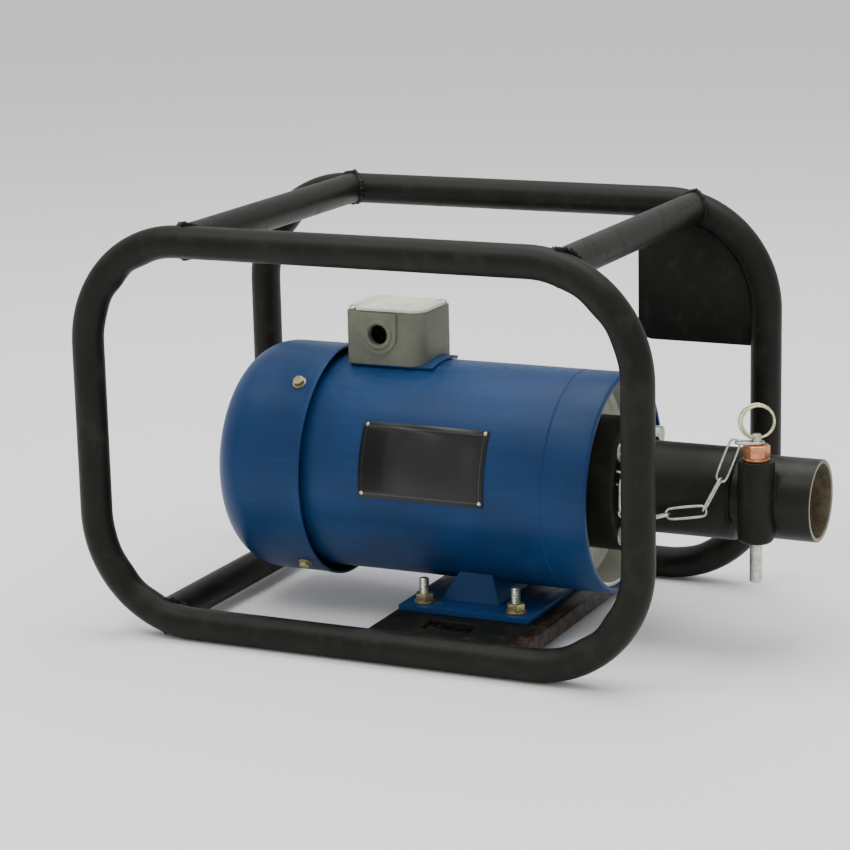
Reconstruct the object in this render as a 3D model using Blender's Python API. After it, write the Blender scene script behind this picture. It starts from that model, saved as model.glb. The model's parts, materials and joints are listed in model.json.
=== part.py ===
"""Electric drive unit of a concrete vibrator: a totally enclosed motor in a tube roll frame,
with a quick-release socket for the flexible shaft, its lock pin, pull ring and tether chain.

Metres, +Z up. +X runs along the motor axis toward the socket. The floor is z = 0.
Lengths below are measured from the middle of the roll frame; the empty "drive_unit" then puts
the middle of the whole length on the origin.
"""
import math

import bmesh
import bpy
from mathutils import Matrix, Vector

MM = 0.001
GAP = 0.3 * MM              # between pieces that touch
LOOSE = 0.3 * MM            # radial room round a shaft, pin or screw

# Roll frame
TUBE_OUTSIDE = 25.4 * MM
TUBE_WALL = 2.0 * MM
TUBE_SIDES = 12
HOOP_LENGTH = 460 * MM      # between tube centres, along X
HOOP_HEIGHT = 306 * MM      # between tube centres, along Z
HOOP_SPREAD = 296 * MM      # between the two hoops' centre planes
HOOP_BEND = 85 * MM         # centre-line bend radius
RAIL_BOW = 0.2 * MM         # rise of the lower rails at mid length, so they stand on their ends
REAR_TOP_INSET = 90 * MM    # cross tube's centre, in from the hoop's end
FRONT_TOP_INSET = 61 * MM
REAR_BOTTOM_INSET = 59 * MM
DRAIN_HOLE = 5 * MM

# Base and switch plates
BASE_REAR = -1 * MM
BASE_LENGTH = 131 * MM
BASE_TOP = 19.6 * MM
BASE_SHEET = 4 * MM
BASE_LIP = 13 * MM          # depth of the turned-down edges
BASE_SLOT = (40 * MM, 22 * MM)
BASE_SLOT_OUT = 24 * MM     # from the foot's edge to the slot's centre
SWITCH_REAR = 119.5 * MM
SWITCH_BOTTOM = 203 * MM
SWITCH_SHEET = 3 * MM
SWITCH_CORNER = 12 * MM

# Motor
SHAFT_HEIGHT = 118.5 * MM
SHELL_OUTSIDE = 174 * MM
SHELL_WALL = 4.5 * MM
SHELL_REAR = -84 * MM
SHELL_FRONT = 163 * MM
SHELL_ROLL = 4 * MM         # rounding of the shell's front edge
SHIELD_RECESS = 29.5 * MM   # front endshield's face, in from the shell's edge
SHIELD_SHY = 6 * MM         # front endshield's rim, in from the shell's edge
SHIELD_WEB = 12 * MM
SHIELD_RIM = 3.2 * MM
SPIGOT = 14 * MM            # length that an endshield reaches into the shell
HUB_OUTSIDE = 56 * MM
BEARING_OUTSIDE = 40 * MM
BEARING_WIDTH = 12 * MM
SHAFT_MAIN = 17 * MM
SHAFT_NOSE = 15.9 * MM
SHAFT_TAIL = 15 * MM
STACK_REAR = -42 * MM
STACK_LENGTH = 116 * MM
ROTOR_OUTSIDE = 98 * MM
AIR_GAP = 0.6 * MM
WINDING_LENGTH = 17 * MM
WINDING_DEPTH = 24 * MM
COWL_OUTSIDE = 188 * MM
COWL_SHEET = 1.6 * MM
COWL_FRONT = -76 * MM
COWL_REAR = -161 * MM
COWL_CORNER = 34 * MM
COWL_SLOTS = 10
COWL_SLOT_WIDTH = 7 * MM
COWL_SLOT_REACH = (16 * MM, 50 * MM)
COWL_SCREW_ANGLES = (52, 128, 232, 308)
COWL_SCREW_BACK = 15 * MM   # behind the cowl's front edge
COWL_SCREW = 5 * MM
COWL_SCREW_FLATS = 8 * MM
FAN_OUTSIDE = 142 * MM
FAN_BLADES = 8
FAN_BLADE = 2.6 * MM
FAN_DEPTH = 30 * MM
FAN_BACK_GAP = 8 * MM       # between the rear endshield and the fan's disc

# Motor foot
FOOT_CENTRE = 56.7 * MM
FOOT_LENGTH = 111 * MM
FOOT_WIDTH = 156 * MM
FOOT_SHEET = 4.2 * MM
FOOT_PITCH = (78.5 * MM, 128 * MM)
PEDESTAL_BASE = (26.5 * MM, 76.5 * MM)
PEDESTAL_TOP = (46 * MM, 70 * MM)
PEDESTAL_WIDTH = 104 * MM
PEDESTAL_SHEET = 4 * MM
FOOT_BOLT = 8 * MM
FOOT_BOLT_FLATS = 13 * MM
FOOT_BOLT_STAND = 20 * MM   # stud end above the foot
NUT_HEIGHT = 7 * MM
HEAD_HEIGHT = 5.5 * MM

# Terminal box
BOX_CENTRE = -30.1 * MM
BOX_LENGTH = 67.5 * MM
BOX_WIDTH = 54 * MM
BOX_TOP = 247.5 * MM
BOX_WALL = 3.5 * MM
BOX_POST = 11 * MM
BOX_CORNER = 12 * MM
POST_CORNER = 4 * MM        # outside corner beside a lid screw's post
BOX_FLOOR = 212 * MM
LID_SHEET = 3 * MM
LID_NOTCH = 9 * MM
LID_SCREW = 4 * MM
LID_SCREW_HEAD = 6.5 * MM
CONDUIT_HOLE = 16.4 * MM
CONDUIT_CENTRE = (-35 * MM, 229.4 * MM)
CONDUIT_PAD = 32 * MM
CONDUIT_PAD_PROUD = 2 * MM
SEAT_SHEET = 3 * MM
SEAT_MARGIN = 7 * MM        # in front of the box
SEAT_INSET = 2 * MM         # under the box's other three sides
BOARD_SIZE = (38 * MM, 26 * MM, 5 * MM)

# Nameplate
PLATE_X = (-27 * MM, 79.5 * MM)
PLATE_ANGLES = (-4.0, 35.6)  # degrees above the level, on the near side
PLATE_SHEET = 0.8 * MM

# Coupling
FLANGE_OUTSIDE = 105 * MM
FLANGE_LENGTH = 38 * MM
FLANGE_BOLT_CIRCLE = 93 * MM
FLANGE_BOLT = 8 * MM
FLANGE_BOLT_FLATS = 13 * MM
FLANGE_BOLT_HEAD = 10 * MM  # with its washer
TUBE_END = 257 * MM
LONG_TUBE_OUTSIDE = 71.6 * MM
LONG_TUBE_WALL = 3.7 * MM
SOCKET_WALL = 3.5 * MM
SOCKET_END = 321.6 * MM
SOCKET_LAP = 21 * MM        # length held inside the long tube
DRIVE_HUB = (172 * MM, 215 * MM)
DRIVE_HUB_OUTSIDE = 30 * MM
DRIVE_SQUARE = 11.1 * MM
DRIVE_DEPTH = 15 * MM
SHAFT_END = 190 * MM

# Lock pin, pull ring and chain
PIN_X = 280 * MM
PIN_OUT = 30 * MM           # pin axis, out to the near side of the socket axis
PIN_OUTSIDE = 9.6 * MM
PIN_BOTTOM = 59 * MM
PIN_NECK = 7.2 * MM
SLEEVE_OUTSIDE = 28 * MM
SLEEVE_UP = 35.5 * MM
SLEEVE_DOWN = 28.5 * MM
SLEEVE_ROUND = 5 * MM
HEAD_FLATS = 18 * MM
HEAD_BORE = 8.4 * MM
HEAD_TALL = 12 * MM
RING_RADIUS = 12.8 * MM
RING_WIRE = 3 * MM
RING_TURN = 25              # degrees about Z that the ring's plane is turned from X
RING_ABOVE_HEAD = 4.7 * MM
NECK_ABOVE_HEAD = 8.2 * MM
CHAIN_WIRE = 2.4 * MM
LINK_HALF_WIDTH = 4.4 * MM
CHAIN_OUT = 44 * MM         # chain's plane, out to the near side
EYE_UP = 15.5 * MM          # above the motor axis
EYE_REACH = 8 * MM
EYE_WIRE = 2.6 * MM
# Where each link ends: X from the flange, out to the near side, and up from the motor axis
CHAIN_POINTS = ((5 * MM, CHAIN_OUT, -11.5 * MM), (27.5 * MM, CHAIN_OUT, -14 * MM),
                (43.5 * MM, CHAIN_OUT, -9 * MM), (71 * MM, CHAIN_OUT, -4 * MM),
                (84 * MM, 41 * MM, 22 * MM))
LINK_7_REACH = 16 * MM      # from the pin's axis to the last link's far wire

tube_r = TUBE_OUTSIDE / 2
rail_z = tube_r * math.cos(math.pi / TUBE_SIDES)  # the tube's flat underside lies on the floor
shell_r = SHELL_OUTSIDE / 2
bore_r = shell_r - SHELL_WALL
cowl_r = COWL_OUTSIDE / 2
shield_face = SHELL_FRONT - SHIELD_RECESS
flange_rear = shield_face + GAP
flange_front = flange_rear + FLANGE_LENGTH
long_r = LONG_TUBE_OUTSIDE / 2
socket_r = long_r - LONG_TUBE_WALL - GAP
socket_bore_r = socket_r - SOCKET_WALL
pin_r = PIN_OUTSIDE / 2
pin_y = -PIN_OUT
sleeve_top = SHAFT_HEIGHT + SLEEVE_UP
sleeve_bottom = SHAFT_HEIGHT - SLEEVE_DOWN
head_top = sleeve_top + GAP + HEAD_TALL
ring_z = head_top + RING_ABOVE_HEAD
wire_r = CHAIN_WIRE / 2
ring_turn = math.radians(RING_TURN)
ring_along = Vector((math.cos(ring_turn), math.sin(ring_turn), 0))
rear_web = SHELL_REAR - 8 * MM           # inner face of the rear endshield
rear_face = rear_web - SHIELD_WEB
screw_x = COWL_FRONT - COWL_SCREW_BACK

COLOURS = {
    "frame_black": ((0.022, 0.022, 0.019), 0.42, 0.0),
    "motor_blue": ((0.012, 0.060, 0.20), 0.28, 0.0),
    "cast_grey": ((0.36, 0.36, 0.31), 0.55, 0.3),
    "lid_grey": ((0.62, 0.63, 0.54), 0.50, 0.2),
    "shield_aluminium": ((0.46, 0.49, 0.42), 0.45, 0.7),
    "zinc_yellow": ((0.42, 0.38, 0.20), 0.40, 0.9),
    "steel": ((0.50, 0.50, 0.47), 0.35, 1.0),
    "copper_head": ((0.55, 0.22, 0.10), 0.38, 0.9),
    "plate_black": ((0.010, 0.010, 0.008), 0.35, 0.1),
    "winding_copper": ((0.45, 0.16, 0.05), 0.45, 0.8),
    "lamination": ((0.20, 0.20, 0.21), 0.50, 0.8),
    "fan_plastic": ((0.03, 0.03, 0.03), 0.60, 0.0),
}


def material(name):
    made = bpy.data.materials.get(name)
    if made is None:
        colour, roughness, metallic = COLOURS[name]
        made = bpy.data.materials.new(name)
        made.use_nodes = True
        shader = made.node_tree.nodes["Principled BSDF"]
        shader.inputs["Base Color"].default_value = (*colour, 1)
        shader.inputs["Roughness"].default_value = roughness
        shader.inputs["Metallic"].default_value = metallic
    return made


def finish(name, mesh_data, finish_name, smooth=True):
    """A mesh builder becomes a named object under the drive unit's empty."""
    bmesh.ops.remove_doubles(mesh_data, verts=mesh_data.verts, dist=1e-7)
    bmesh.ops.recalc_face_normals(mesh_data, faces=mesh_data.faces)
    mesh = bpy.data.meshes.new(name)
    mesh_data.to_mesh(mesh)
    mesh_data.free()
    made = bpy.data.objects.new(name, mesh)
    bpy.context.scene.collection.objects.link(made)
    made.parent = unit
    mesh.materials.append(material(finish_name))
    if smooth:
        mesh.shade_smooth()
        mesh.set_sharp_from_angle(angle=math.radians(35))
    return made


def guide(made):
    made.hide_render = True
    made.display_type = "WIRE"
    return made


def boolean(piece, tool, operation="DIFFERENCE"):
    change = piece.modifiers.new(tool.name, "BOOLEAN")
    change.operation = operation
    change.solver = "EXACT"
    change.object = tool
    return piece


def ring_faces(builder, rings, closed):
    """Joins rings of vertices that have the same count into a skin."""
    pairs = list(zip(rings, rings[1:] + rings[:1])) if closed else list(zip(rings, rings[1:]))
    for first, second in pairs:
        for i in range(len(first)):
            j = (i + 1) % len(first)
            builder.faces.new((first[i], first[j], second[j], second[i]))
    if not closed:
        builder.faces.new(rings[0])
        builder.faces.new(list(reversed(rings[-1])))


def sweep(path, radius, sides, normal, closed=True, builder=None):
    """A round bar along a path that lies in one plane with the given normal."""
    builder = builder or bmesh.new()
    count = len(path)
    rings = []
    for i, point in enumerate(path):
        ahead = path[(i + 1) % count] if closed or i + 1 < count else point
        behind = path[i - 1] if closed or i > 0 else point
        tangent = (ahead - behind).normalized()
        side = tangent.cross(normal).normalized()
        turns = [2 * math.pi * (k + 0.5) / sides for k in range(sides)]
        rings.append([builder.verts.new(point + radius * (math.cos(t) * side + math.sin(t) * normal))
                      for t in turns])
    ring_faces(builder, rings, closed)
    return builder


def lathe(profile, sides, closed=True, centre=(0, 0), axis="X", builder=None):
    """Turns (along, radius) points about an axis parallel to X or Z."""
    builder = builder or bmesh.new()
    if axis == "X":
        verts = [builder.verts.new((a, centre[0], centre[1] + r)) for a, r in profile]
        about = (Vector((0, centre[0], centre[1])), Vector((1, 0, 0)))
    else:
        verts = [builder.verts.new((centre[0] + r, centre[1], a)) for a, r in profile]
        about = (Vector((centre[0], centre[1], 0)), Vector((0, 0, 1)))
    pairs = list(zip(verts, verts[1:]))
    if closed:
        pairs.append((verts[-1], verts[0]))
    edges = [builder.edges.new(pair) for pair in pairs]
    bmesh.ops.spin(builder, geom=verts + edges, cent=about[0], axis=about[1],
                   angle=2 * math.pi, steps=sides, use_merge=True)
    bmesh.ops.remove_doubles(builder, verts=builder.verts, dist=1e-6)
    return builder


def prism(outline, start, end, axis, builder=None):
    """Extrudes a flat outline along an axis. The outline holds the other two coordinates in order."""
    builder = builder or bmesh.new()
    place = {"X": lambda p, h: (h, p[0], p[1]), "Y": lambda p, h: (p[0], h, p[1]),
             "Z": lambda p, h: (p[0], p[1], h)}[axis]
    low = [builder.verts.new(place(p, start)) for p in outline]
    high = [builder.verts.new(place(p, end)) for p in outline]
    ring_faces(builder, [low, high], closed=False)
    return builder


def block(low, high, builder=None):
    outline = ((low[0], low[1]), (high[0], low[1]), (high[0], high[1]), (low[0], high[1]))
    return prism(outline, low[2], high[2], "Z", builder)


def polygon(count, radius, centre=(0, 0), turn=0.0):
    steps = [turn + 2 * math.pi * k / count for k in range(count)]
    return [(centre[0] + radius * math.cos(a), centre[1] + radius * math.sin(a)) for a in steps]


def arc(centre, radius, first, last, steps):
    angles = [math.radians(first + (last - first) * k / steps) for k in range(steps + 1)]
    return [(centre[0] + radius * math.cos(a), centre[1] + radius * math.sin(a)) for a in angles]


def hex_radius(flats):
    return flats / math.sqrt(3)


# ---------------------------------------------------------------- roll frame

def hoop_path(y, steps=6):
    """The hoop's rounded rectangle, anticlockwise from the top right bend."""
    half = HOOP_LENGTH / 2 - HOOP_BEND
    low = rail_z + HOOP_BEND
    high = rail_z + HOOP_HEIGHT - HOOP_BEND
    corners = ((half, high, 0), (-half, high, 90), (-half, low, 180), (half, low, 270))
    bends = [arc((x, z), HOOP_BEND, a, a + 90, steps) for x, z, a in corners]
    points = bends[0] + bends[1] + bends[2] + [(0, rail_z + RAIL_BOW)] + bends[3]
    return [Vector((x, y, z)) for x, z in points]


def rail_level(x, top):
    """Height of the hoop's centre line at x, on its upper or its lower side."""
    into_bend = max(0.0, abs(x) - (HOOP_LENGTH / 2 - HOOP_BEND))
    drop = HOOP_BEND - math.sqrt(HOOP_BEND ** 2 - into_bend ** 2)
    return rail_z + (HOOP_HEIGHT - drop if top else drop)


def build_hoop(name, y):
    across = Vector((0, 1, 0))
    hoop = finish(name, sweep(hoop_path(y), tube_r, TUBE_SIDES, across), "frame_black")
    inside = sweep(hoop_path(y), tube_r - TUBE_WALL, 8, across)
    boolean(hoop, guide(finish(name + "_inside", inside, "frame_black")))
    drain = prism(polygon(8, DRAIN_HOLE / 2, (0, y)), -tube_r, rail_z, "Z")
    boolean(hoop, guide(finish(name + "_drain", drain, "frame_black")))
    return guide(finish(name + "_clear", sweep(hoop_path(y), tube_r + GAP, TUBE_SIDES, across), "frame_black"))


def build_cross_tube(name, x, top, hoop_guides):
    z = rail_level(x, top)
    half = HOOP_SPREAD / 2
    centre_line = [Vector((x, -half, z)), Vector((x, half, z))]
    tube = finish(name, sweep(centre_line, tube_r, TUBE_SIDES, Vector((0, 0, 1)), closed=False), "frame_black")
    beyond = [Vector((x, -half - tube_r, z)), Vector((x, half + tube_r, z))]
    inside = sweep(beyond, tube_r - TUBE_WALL, 8, Vector((0, 0, 1)), closed=False)
    boolean(tube, guide(finish(name + "_inside", inside, "frame_black")))
    for hoop_guide in hoop_guides:
        boolean(tube, hoop_guide)


def build_base_plate(hoop_guides):
    """A plate with both ends turned down, let in between the bottom rails."""
    front = BASE_REAR + BASE_LENGTH
    top, under, foot = BASE_TOP, BASE_TOP - BASE_SHEET, BASE_TOP - BASE_LIP
    section = ((BASE_REAR, top), (BASE_REAR, foot), (BASE_REAR + BASE_SHEET, foot),
               (BASE_REAR + BASE_SHEET, under), (front - BASE_SHEET, under),
               (front - BASE_SHEET, foot), (front, foot), (front, top))
    plate = finish("base_plate", prism(section, -HOOP_SPREAD / 2, HOOP_SPREAD / 2, "Y"),
                   "frame_black", smooth=False)
    for hoop_guide in hoop_guides:
        boolean(plate, hoop_guide)
    cuts = bmesh.new()
    for x, y in foot_bolt_places():
        prism(polygon(8, FOOT_BOLT / 2 + LOOSE, (x, y)), under - BASE_SHEET, top + BASE_SHEET, "Z", cuts)
    for side in (-1, 1):
        y = side * (FOOT_WIDTH / 2 + BASE_SLOT_OUT)
        block((FOOT_CENTRE - BASE_SLOT[0] / 2, y - BASE_SLOT[1] / 2, under - BASE_SHEET),
              (FOOT_CENTRE + BASE_SLOT[0] / 2, y + BASE_SLOT[1] / 2, top + BASE_SHEET), cuts)
    boolean(plate, guide(finish("base_plate_holes", cuts, "frame_black", smooth=False)))


def build_switch_plate():
    """A flat plate that fills the far hoop's upper front corner."""
    room = tube_r + GAP
    right = HOOP_LENGTH / 2 - room
    top = rail_z + HOOP_HEIGHT - room
    bend = (HOOP_LENGTH / 2 - HOOP_BEND, rail_z + HOOP_HEIGHT - HOOP_BEND)
    outline = [(right, SWITCH_BOTTOM)]
    outline += arc(bend, HOOP_BEND - room, 0, 90, 6)
    outline += [(SWITCH_REAR, top)]
    outline += arc((SWITCH_REAR + SWITCH_CORNER, SWITCH_BOTTOM + SWITCH_CORNER), SWITCH_CORNER, 180, 270, 4)
    y = HOOP_SPREAD / 2
    finish("switch_plate", prism(outline, y - SWITCH_SHEET / 2, y + SWITCH_SHEET / 2, "Y"),
           "frame_black", smooth=False)


def build_frame():
    half = HOOP_LENGTH / 2
    guides = [build_hoop("near_hoop", -HOOP_SPREAD / 2), build_hoop("far_hoop", HOOP_SPREAD / 2)]
    build_cross_tube("rear_top_tube", -half + REAR_TOP_INSET, True, guides)
    build_cross_tube("front_top_tube", half - FRONT_TOP_INSET, True, guides)
    build_cross_tube("rear_bottom_tube", -half + REAR_BOTTOM_INSET, False, guides)
    build_base_plate(guides)
    build_switch_plate()


# ---------------------------------------------------------------- motor

def on_axis(profile, sides=32, closed=True, builder=None):
    return lathe(profile, sides, closed, centre=(0, SHAFT_HEIGHT), builder=builder)


def band(start, end, inner, outer):
    return ((start, inner), (end, inner), (end, outer), (start, outer))


def bolt_along_x(name, y, z, start, under_head, size, flats, head, finish_name):
    shank = [(start, 0), (start, size / 2), (under_head, size / 2), (under_head, 0)]
    made = finish(name, lathe(shank, 8, closed=False, centre=(y, z)), finish_name)
    cap = prism(polygon(6, hex_radius(flats), (y, z)), under_head - GAP, under_head + head, "X")
    boolean(made, guide(finish(name + "_head", cap, finish_name)), "UNION")


def build_shell():
    rolled = arc((SHELL_FRONT - SHELL_ROLL, shell_r - SHELL_ROLL), SHELL_ROLL, 0, 90, 4)
    profile = [(SHELL_REAR, shell_r), (SHELL_REAR, bore_r), (SHELL_FRONT, bore_r)] + rolled
    finish("motor_shell", on_axis(profile, 48), "motor_blue")


def flange_bolt_places():
    return [(y, z) for y, z in polygon(4, FLANGE_BOLT_CIRCLE / 2, (0, SHAFT_HEIGHT), math.radians(45))]


def build_front_endshield():
    spigot_r = bore_r - GAP
    inner = shield_face - SHIELD_WEB
    lip = shield_face - 8 * MM
    edge = SHELL_FRONT - SHIELD_SHY
    profile = ((edge, spigot_r), (inner - SPIGOT, spigot_r),
               (inner - SPIGOT, spigot_r - SHIELD_RIM), (inner, spigot_r - SHIELD_RIM),
               (inner, HUB_OUTSIDE / 2), (lip - BEARING_WIDTH - GAP, HUB_OUTSIDE / 2),
               (lip - BEARING_WIDTH - GAP, BEARING_OUTSIDE / 2 + GAP), (lip, BEARING_OUTSIDE / 2 + GAP),
               (lip, SHAFT_MAIN / 2 + 2 * LOOSE), (shield_face, SHAFT_MAIN / 2 + 2 * LOOSE),
               (shield_face, spigot_r - SHIELD_RIM), (edge, spigot_r - SHIELD_RIM))
    shield = finish("front_endshield", on_axis(profile), "shield_aluminium")
    holes = bmesh.new()
    for place in flange_bolt_places():
        prism(polygon(8, FLANGE_BOLT / 2 + LOOSE, place), inner - SPIGOT, SHELL_FRONT, "X", holes)
    boolean(shield, guide(finish("front_endshield_holes", holes, "shield_aluminium")))
    return lip


def cowl_screw_axes():
    """Unit vectors out from the motor axis to each cowl screw."""
    return [Vector((0, math.cos(math.radians(a)), math.sin(math.radians(a)))) for a in COWL_SCREW_ANGLES]


def radial_bar(direction, x, start, end, radius, sides, builder=None):
    """A bar that stands out from the motor axis, from one radius to another."""
    builder = builder or bmesh.new()
    centre = Vector((x, 0, SHAFT_HEIGHT))
    along = Vector((1, 0, 0))
    side = direction.cross(along)
    rings = []
    for reach in (start, end):
        rings.append([builder.verts.new(centre + direction * reach + u * along + v * side)
                      for u, v in polygon(sides, radius)])
    ring_faces(builder, rings, closed=False)
    return builder


def build_rear_endshield():
    spigot_r = bore_r - GAP
    edge_r = shell_r - GAP
    lip = rear_face + 9 * MM
    profile = ((SHELL_REAR + SPIGOT, spigot_r), (SHELL_REAR - GAP, spigot_r), (SHELL_REAR - GAP, edge_r),
               (rear_face + 5 * MM, edge_r), (rear_face, edge_r - 6 * MM),
               (rear_face, SHAFT_MAIN / 2 + LOOSE), (lip, SHAFT_MAIN / 2 + LOOSE),
               (lip, BEARING_OUTSIDE / 2 + GAP), (lip + BEARING_WIDTH + GAP, BEARING_OUTSIDE / 2 + GAP),
               (lip + BEARING_WIDTH + GAP, HUB_OUTSIDE / 2), (rear_web, HUB_OUTSIDE / 2),
               (rear_web, spigot_r - SHIELD_RIM), (SHELL_REAR + SPIGOT, spigot_r - SHIELD_RIM))
    shield = finish("rear_endshield", on_axis(profile), "motor_blue")
    lugs = bmesh.new()
    lug_end = cowl_r - COWL_SHEET - 3 * GAP
    for direction in cowl_screw_axes():
        radial_bar(direction, screw_x, shell_r - 12 * MM, lug_end, 5.5 * MM, 4, lugs)
    boolean(shield, guide(finish("rear_endshield_lugs", lugs, "motor_blue", smooth=False)), "UNION")
    return lip


def build_cowl():
    """A deep-drawn cover, open at the front, with air slots in its flat back."""
    inner_r = cowl_r - COWL_SHEET
    corner = (COWL_REAR + COWL_CORNER, cowl_r - COWL_CORNER)
    outside = [(COWL_FRONT, cowl_r)] + arc(corner, COWL_CORNER, 90, 180, 6) + [(COWL_REAR, 0)]
    inside = [(COWL_REAR + COWL_SHEET, 0)] + arc(corner, COWL_CORNER - COWL_SHEET, 180, 90, 6)
    inside += [(COWL_FRONT, inner_r)]
    profile = outside + inside
    builder = lathe([(a, r) for a, r in profile[:-1]] + [profile[-1]], 40, closed=False,
                    centre=(0, SHAFT_HEIGHT))
    edge = [e for e in builder.edges if len(e.link_faces) == 1]
    bmesh.ops.bridge_loops(builder, edges=edge)
    cowl = finish("fan_cowl", builder, "motor_blue")
    slots = bmesh.new()
    for k in range(COWL_SLOTS):
        angle = 2 * math.pi * (k + 0.5) / COWL_SLOTS
        direction = Vector((0, math.cos(angle), math.sin(angle)))
        side = direction.cross(Vector((1, 0, 0))) * COWL_SLOT_WIDTH / 2
        outline = [direction * COWL_SLOT_REACH[0] - side, direction * COWL_SLOT_REACH[1] - side,
                   direction * COWL_SLOT_REACH[1] + side, direction * COWL_SLOT_REACH[0] + side]
        prism([(p.y, p.z + SHAFT_HEIGHT) for p in outline], COWL_REAR - COWL_SHEET,
              COWL_REAR + 2 * COWL_SHEET, "X", slots)
    boolean(cowl, guide(finish("fan_cowl_slots", slots, "motor_blue", smooth=False)))
    return cowl


def build_cowl_screws():
    holes = bmesh.new()
    for direction in cowl_screw_axes():
        radial_bar(direction, screw_x, cowl_r - 8 * MM, cowl_r + 5 * MM, COWL_SCREW / 2 + LOOSE, 8, holes)
    cutter = guide(finish("cowl_screw_holes", holes, "motor_blue"))
    for name in ("fan_cowl", "rear_endshield"):
        boolean(bpy.data.objects[name], cutter)
    for k, direction in enumerate(cowl_screw_axes()):
        name = f"cowl_screw_{k + 1}"
        under = cowl_r + GAP
        screw = finish(name, radial_bar(direction, screw_x, cowl_r - 7 * MM, under + GAP, COWL_SCREW / 2, 8),
                       "zinc_yellow")
        head = radial_bar(direction, screw_x, under, under + 3.5 * MM, hex_radius(COWL_SCREW_FLATS), 6)
        boolean(screw, guide(finish(name + "_head", head, "zinc_yellow")), "UNION")


def build_electric_parts(front_lip, rear_lip):
    stack_front = STACK_REAR + STACK_LENGTH
    stator_inner = ROTOR_OUTSIDE / 2 + AIR_GAP
    finish("stator_core", on_axis(band(STACK_REAR, stack_front, stator_inner, bore_r - GAP)), "lamination")
    outer = bore_r - 6 * MM
    inner = outer - WINDING_DEPTH
    for name, start in (("front_winding", stack_front + GAP),
                        ("rear_winding", STACK_REAR - GAP - WINDING_LENGTH)):
        finish(name, on_axis(band(start, start + WINDING_LENGTH, inner, outer), 24), "winding_copper")
    bearing = (SHAFT_MAIN / 2 + LOOSE, BEARING_OUTSIDE / 2)
    finish("front_bearing", on_axis(band(front_lip - GAP - BEARING_WIDTH, front_lip - GAP, *bearing), 24),
           "steel")
    finish("rear_bearing", on_axis(band(rear_lip + GAP, rear_lip + GAP + BEARING_WIDTH, *bearing), 24),
           "steel")


def foot_bolt_places():
    return [(FOOT_CENTRE + sx * FOOT_PITCH[0] / 2, sy * FOOT_PITCH[1] / 2) for sy in (-1, 1) for sx in (-1, 1)]


def frustum(low_x, high_x, half_y, low_z, high_z, inset=0.0):
    """A hollowable pedestal that narrows toward its top along X."""
    builder = bmesh.new()
    rings = []
    for (start, end), z in ((low_x, low_z), (high_x, high_z)):
        ring = ((start + inset, -half_y + inset), (end - inset, -half_y + inset),
                (end - inset, half_y - inset), (start + inset, half_y - inset))
        rings.append([builder.verts.new((x, y, z)) for x, y in ring])
    ring_faces(builder, rings, closed=False)
    return builder


def build_foot():
    """The pressed foot: a flat plate with a hollow pedestal that cradles the shell."""
    low = BASE_TOP + GAP
    high = low + FOOT_SHEET
    half = (FOOT_LENGTH / 2, FOOT_WIDTH / 2)
    foot = finish("motor_foot", block((FOOT_CENTRE - half[0], -half[1], low),
                                      (FOOT_CENTRE + half[0], half[1], high)), "motor_blue", smooth=False)
    crown = SHAFT_HEIGHT - math.sqrt(shell_r ** 2 - (PEDESTAL_WIDTH / 2) ** 2) + 4 * MM
    body = frustum(PEDESTAL_BASE, PEDESTAL_TOP, PEDESTAL_WIDTH / 2, high - GAP, crown)
    boolean(foot, guide(finish("motor_foot_pedestal", body, "motor_blue", smooth=False)), "UNION")
    room = frustum(PEDESTAL_BASE, PEDESTAL_TOP, PEDESTAL_WIDTH / 2, low - FOOT_SHEET, crown + 1 * MM,
                   inset=PEDESTAL_SHEET)
    boolean(foot, guide(finish("motor_foot_room", room, "motor_blue", smooth=False)))
    clear = on_axis([(SHELL_REAR, 0), (SHELL_REAR, shell_r + GAP), (SHELL_FRONT, shell_r + GAP),
                     (SHELL_FRONT, 0)], 48, closed=False)
    shell_guide = guide(finish("motor_shell_clear", clear, "motor_blue"))
    boolean(foot, shell_guide)
    holes = bmesh.new()
    for place in foot_bolt_places():
        prism(polygon(8, FOOT_BOLT / 2 + LOOSE, place), low - FOOT_SHEET, high + FOOT_SHEET, "Z", holes)
    boolean(foot, guide(finish("motor_foot_holes", holes, "motor_blue")))
    return high, shell_guide


def build_foot_bolts(foot_top):
    under = BASE_TOP - BASE_SHEET - GAP
    for k, place in enumerate(foot_bolt_places()):
        name = f"foot_bolt_{k + 1}"
        stud = prism(polygon(8, FOOT_BOLT / 2, place), under - GAP, foot_top + FOOT_BOLT_STAND, "Z")
        bolt = finish(name, stud, "steel")
        head = prism(polygon(6, hex_radius(FOOT_BOLT_FLATS), place), under - HEAD_HEIGHT, under, "Z")
        boolean(bolt, guide(finish(name + "_head", head, "steel")), "UNION")
        nut = prism(polygon(6, hex_radius(FOOT_BOLT_FLATS), place), foot_top + GAP,
                    foot_top + GAP + NUT_HEIGHT, "Z")
        nut_made = finish(f"foot_nut_{k + 1}", nut, "zinc_yellow")
        bore = prism(polygon(8, FOOT_BOLT / 2 + LOOSE, place), foot_top - GAP,
                     foot_top + NUT_HEIGHT * 2, "Z")
        boolean(nut_made, guide(finish(f"foot_nut_{k + 1}_bore", bore, "zinc_yellow")))


def curved_plate(name, x_range, angles, inner, sheet, finish_name):
    """A plate rolled to the motor shell. Angles are degrees up from level on the near side."""
    first, last = 180 - angles[1], 180 - angles[0]
    centre = (0, SHAFT_HEIGHT)
    outline = arc(centre, inner + sheet, first, last, 8) + arc(centre, inner, last, first, 8)
    return finish(name, prism(outline, *x_range, "X"), finish_name)


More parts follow.
